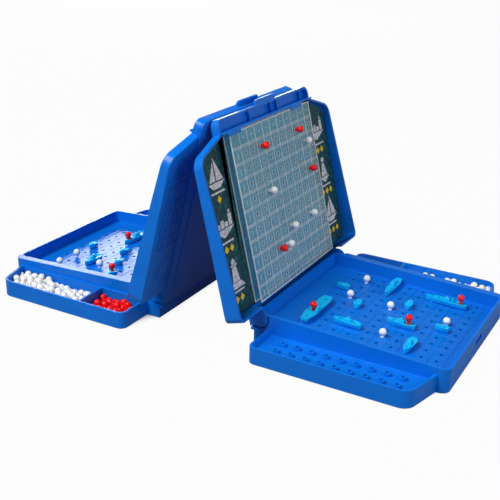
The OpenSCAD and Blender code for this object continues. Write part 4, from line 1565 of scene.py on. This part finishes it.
@dataclass
class Studio:
    """Pale floor, soft lights, plain backdrop and the camera, in metres."""

    azimuth: float = 28.8
    elevation: float = 22.24
    roll: float = 1.34
    target: Point = (-0.03808, 0.06517, 0.01932)
    distance: float = 0.9702
    lens: float = 63.76
    ambient: float = 0.11
    key: float = 31
    fill: float = 13
    wash: float = 28

    def camera(self) -> None:
        """Stand the camera at its place."""
        az, el, roll = (math.radians(a) for a in (self.azimuth, self.elevation, self.roll))
        back = Vector((math.sin(az) * math.cos(el), -math.cos(az) * math.cos(el), math.sin(el)))
        right = (-back).cross(Vector((0, 0, 1))).normalized()
        up = right.cross(-back).normalized()
        across = math.cos(roll) * right + math.sin(roll) * up
        upward = -math.sin(roll) * right + math.cos(roll) * up
        data = bpy.data.cameras.new("camera")
        data.lens = self.lens
        data.sensor_width = 36
        data.clip_end = 60
        obj = bpy.data.objects.new("camera", data)
        bpy.context.scene.collection.objects.link(obj)
        turn = Matrix((across, upward, back)).transposed().to_4x4()
        obj.matrix_world = Matrix.Translation(Vector(self.target) + back * self.distance) @ turn
        bpy.context.scene.camera = obj

    def lamp(self, name: str, place: Point, aim: Point, size: Spot, power: float) -> None:
        """Hang one soft light that the camera doesn't see.

        Args:
            name: Name of the light.
            place: Where it hangs.
            aim: The point that it faces.
            size: Width and height of its face.
            power: Its power in watts.
        """
        data = bpy.data.lights.new(name, "AREA")
        data.shape = "RECTANGLE"
        data.size, data.size_y = size
        data.energy = power
        obj = bpy.data.objects.new(name, data)
        bpy.context.scene.collection.objects.link(obj)
        turn = (Vector(place) - Vector(aim)).to_track_quat("Z", "Y").to_matrix().to_4x4()
        obj.matrix_world = Matrix.Translation(place) @ turn
        obj.visible_camera = False

    def looking(self, tree: bpy.types.NodeTree) -> bpy.types.NodeSocket:
        """One for rays that see the backdrop in a gloss or through clear plastic.

        Args:
            tree: Node tree that gets the nodes.

        Returns:
            The socket that carries the value.
        """
        rays = tree.nodes.new("ShaderNodeLightPath")
        either = tree.nodes.new("ShaderNodeMath")
        either.operation = "MAXIMUM"
        tree.links.new(rays.outputs["Is Glossy Ray"], either.inputs[0])
        tree.links.new(rays.outputs["Is Transmission Ray"], either.inputs[1])
        return either.outputs[0]

    def floor(self) -> None:
        """Lay the floor: white to the camera, with a share of real light, and painted shade under and beside the
        cases.
        """
        deselect_all()
        bpy.ops.mesh.primitive_plane_add(size=40, location=(0, 0, -0.0002))
        obj = bpy.context.active_object
        obj.name = "floor"
        material = bpy.data.materials.new("floor_paper")
        material.use_nodes = True
        tree = material.node_tree
        tree.nodes.clear()
        out = tree.nodes.new("ShaderNodeOutputMaterial")
        paper = tree.nodes.new("ShaderNodeBsdfDiffuse")
        paper.inputs["Color"].default_value = (0.22, 0.225, 0.23, 1)
        glow = tree.nodes.new("ShaderNodeEmission")
        glow.inputs["Strength"].default_value = 1.0
        mix = tree.nodes.new("ShaderNodeMixShader")
        rays = tree.nodes.new("ShaderNodeLightPath")
        gloss = tree.nodes.new("ShaderNodeMath")
        gloss.operation = "MULTIPLY"
        gloss.inputs[1].default_value = 0.1
        tree.links.new(self.looking(tree), gloss.inputs[0])
        share = tree.nodes.new("ShaderNodeMath")
        share.operation = "MULTIPLY_ADD"
        share.inputs[1].default_value = 0.97
        tree.links.new(rays.outputs["Is Camera Ray"], share.inputs[0])
        tree.links.new(gloss.outputs[0], share.inputs[2])
        # Painted shade: an ambient occlusion node cuts the floor's white glow under and beside the cases, so the
        # floor shows its dim real light there.
        cover = tree.nodes.new("ShaderNodeAmbientOcclusion")
        cover.inputs["Distance"].default_value = 0.05
        painted_shade_mask = tree.nodes.new("ShaderNodeMapRange")
        painted_shade_mask.inputs["From Min"].default_value = 0.1
        painted_shade_mask.inputs["From Max"].default_value = 0.4
        tree.links.new(cover.outputs["AO"], painted_shade_mask.inputs["Value"])
        lit = tree.nodes.new("ShaderNodeMath")
        lit.operation = "MULTIPLY"
        tree.links.new(share.outputs[0], lit.inputs[0])
        tree.links.new(painted_shade_mask.outputs["Result"], lit.inputs[1])
        tree.links.new(lit.outputs[0], mix.inputs["Fac"])
        tree.links.new(paper.outputs[0], mix.inputs[1])
        tree.links.new(glow.outputs[0], mix.inputs[2])
        tree.links.new(mix.outputs[0], out.inputs["Surface"])
        obj.data.materials.append(material)

    def world(self) -> None:
        """White backdrop for the camera, a bright horizon in reflections, even light elsewhere."""
        world = bpy.data.worlds.new("studio")
        bpy.context.scene.world = world
        world.use_nodes = True
        tree = world.node_tree
        tree.nodes.clear()
        out = tree.nodes.new("ShaderNodeOutputWorld")
        rays = tree.nodes.new("ShaderNodeLightPath")
        white, even, sky = (tree.nodes.new("ShaderNodeBackground") for _ in range(3))
        white.inputs["Color"].default_value = (1, 1, 1, 1)
        even.inputs["Color"].default_value = (1, 1, 1, 1)
        even.inputs["Strength"].default_value = self.ambient
        place = tree.nodes.new("ShaderNodeTexCoord")
        split = tree.nodes.new("ShaderNodeSeparateXYZ")
        ramp = tree.nodes.new("ShaderNodeValToRGB")
        for element, (spot, level) in zip(ramp.color_ramp.elements, ((0.24, 0.7), (0.40, 0.04))):
            element.position = spot
            element.color = (level, level, level, 1)
        tree.links.new(place.outputs["Generated"], split.inputs[0])
        tree.links.new(split.outputs["Z"], ramp.inputs["Fac"])
        tree.links.new(ramp.outputs["Color"], sky.inputs["Color"])
        inner, outer = (tree.nodes.new("ShaderNodeMixShader") for _ in range(2))
        tree.links.new(self.looking(tree), inner.inputs["Fac"])
        tree.links.new(even.outputs[0], inner.inputs[1])
        tree.links.new(sky.outputs[0], inner.inputs[2])
        tree.links.new(rays.outputs["Is Camera Ray"], outer.inputs["Fac"])
        tree.links.new(inner.outputs[0], outer.inputs[1])
        tree.links.new(white.outputs[0], outer.inputs[2])
        tree.links.new(outer.outputs[0], out.inputs["Surface"])

    def build(self) -> None:
        """Set the whole studio."""
        self.camera()
        self.floor()
        self.world()
        self.lamp("key", (-0.45, -0.95, 1.45), (0, 0, 0.08), (0.9, 0.9), self.key)
        self.lamp("fill", (1.75, -0.3, 0.8), (0.05, 0, 0.1), (1.2, 1.2), self.fill)
        self.lamp("wash", (-1.62, 2.0, 0.54), (-0.1, 0, 0.05), (1.1, 0.9), self.wash)
        bpy.context.scene.view_settings.view_transform = "Standard"


# ---- assembly --------------------------------------------------------------------------


def main() -> None:
    """Build the studio, both cases, their ships and their pegs."""
    logging.basicConfig(level=logging.INFO, format="%(message)s")
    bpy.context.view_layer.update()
    Studio().build()
    base, lid, panel, card, peg = BaseTray(), FoldingLid(), TargetPanel(), ChartCard(), BallPeg()
    base_pattern, lid_pattern = base.model(), lid.model()
    panel_pattern, card_pattern = panel.model(), card.model()
    ships = {kind: ShipModel(kind).model() for kind in Hull}
    standing = peg.model("standing_peg")
    loose = peg.model("loose_peg", 10, 6, footed=False)
    piles = [(pile, pile.model(loose, peg.up)) for pile in PILES]
    for side in Side:
        base.place(base_pattern, side)
        lid.place(lid_pattern, side)
        panel.place(panel_pattern, side)
        card.place(card_pattern, side)
        for pile, pattern in piles:
            pile.place(pattern, side)
    for fleet, pegs in ((RIGHT_FLEET, RIGHT_PEGS), (LEFT_FLEET, LEFT_PEGS)):
        fleet.place(ships)
        pegs.place(standing, panel)
    patterns = [base_pattern, lid_pattern, standing, loose, *ships.values()]
    patterns += [piece for piece, _ in (*panel_pattern.values(), *card_pattern.values())]
    patterns += [pattern for _, pattern in piles]
    for pattern in patterns:
        pattern.scrap()


if __name__ == "__main__":
    main()
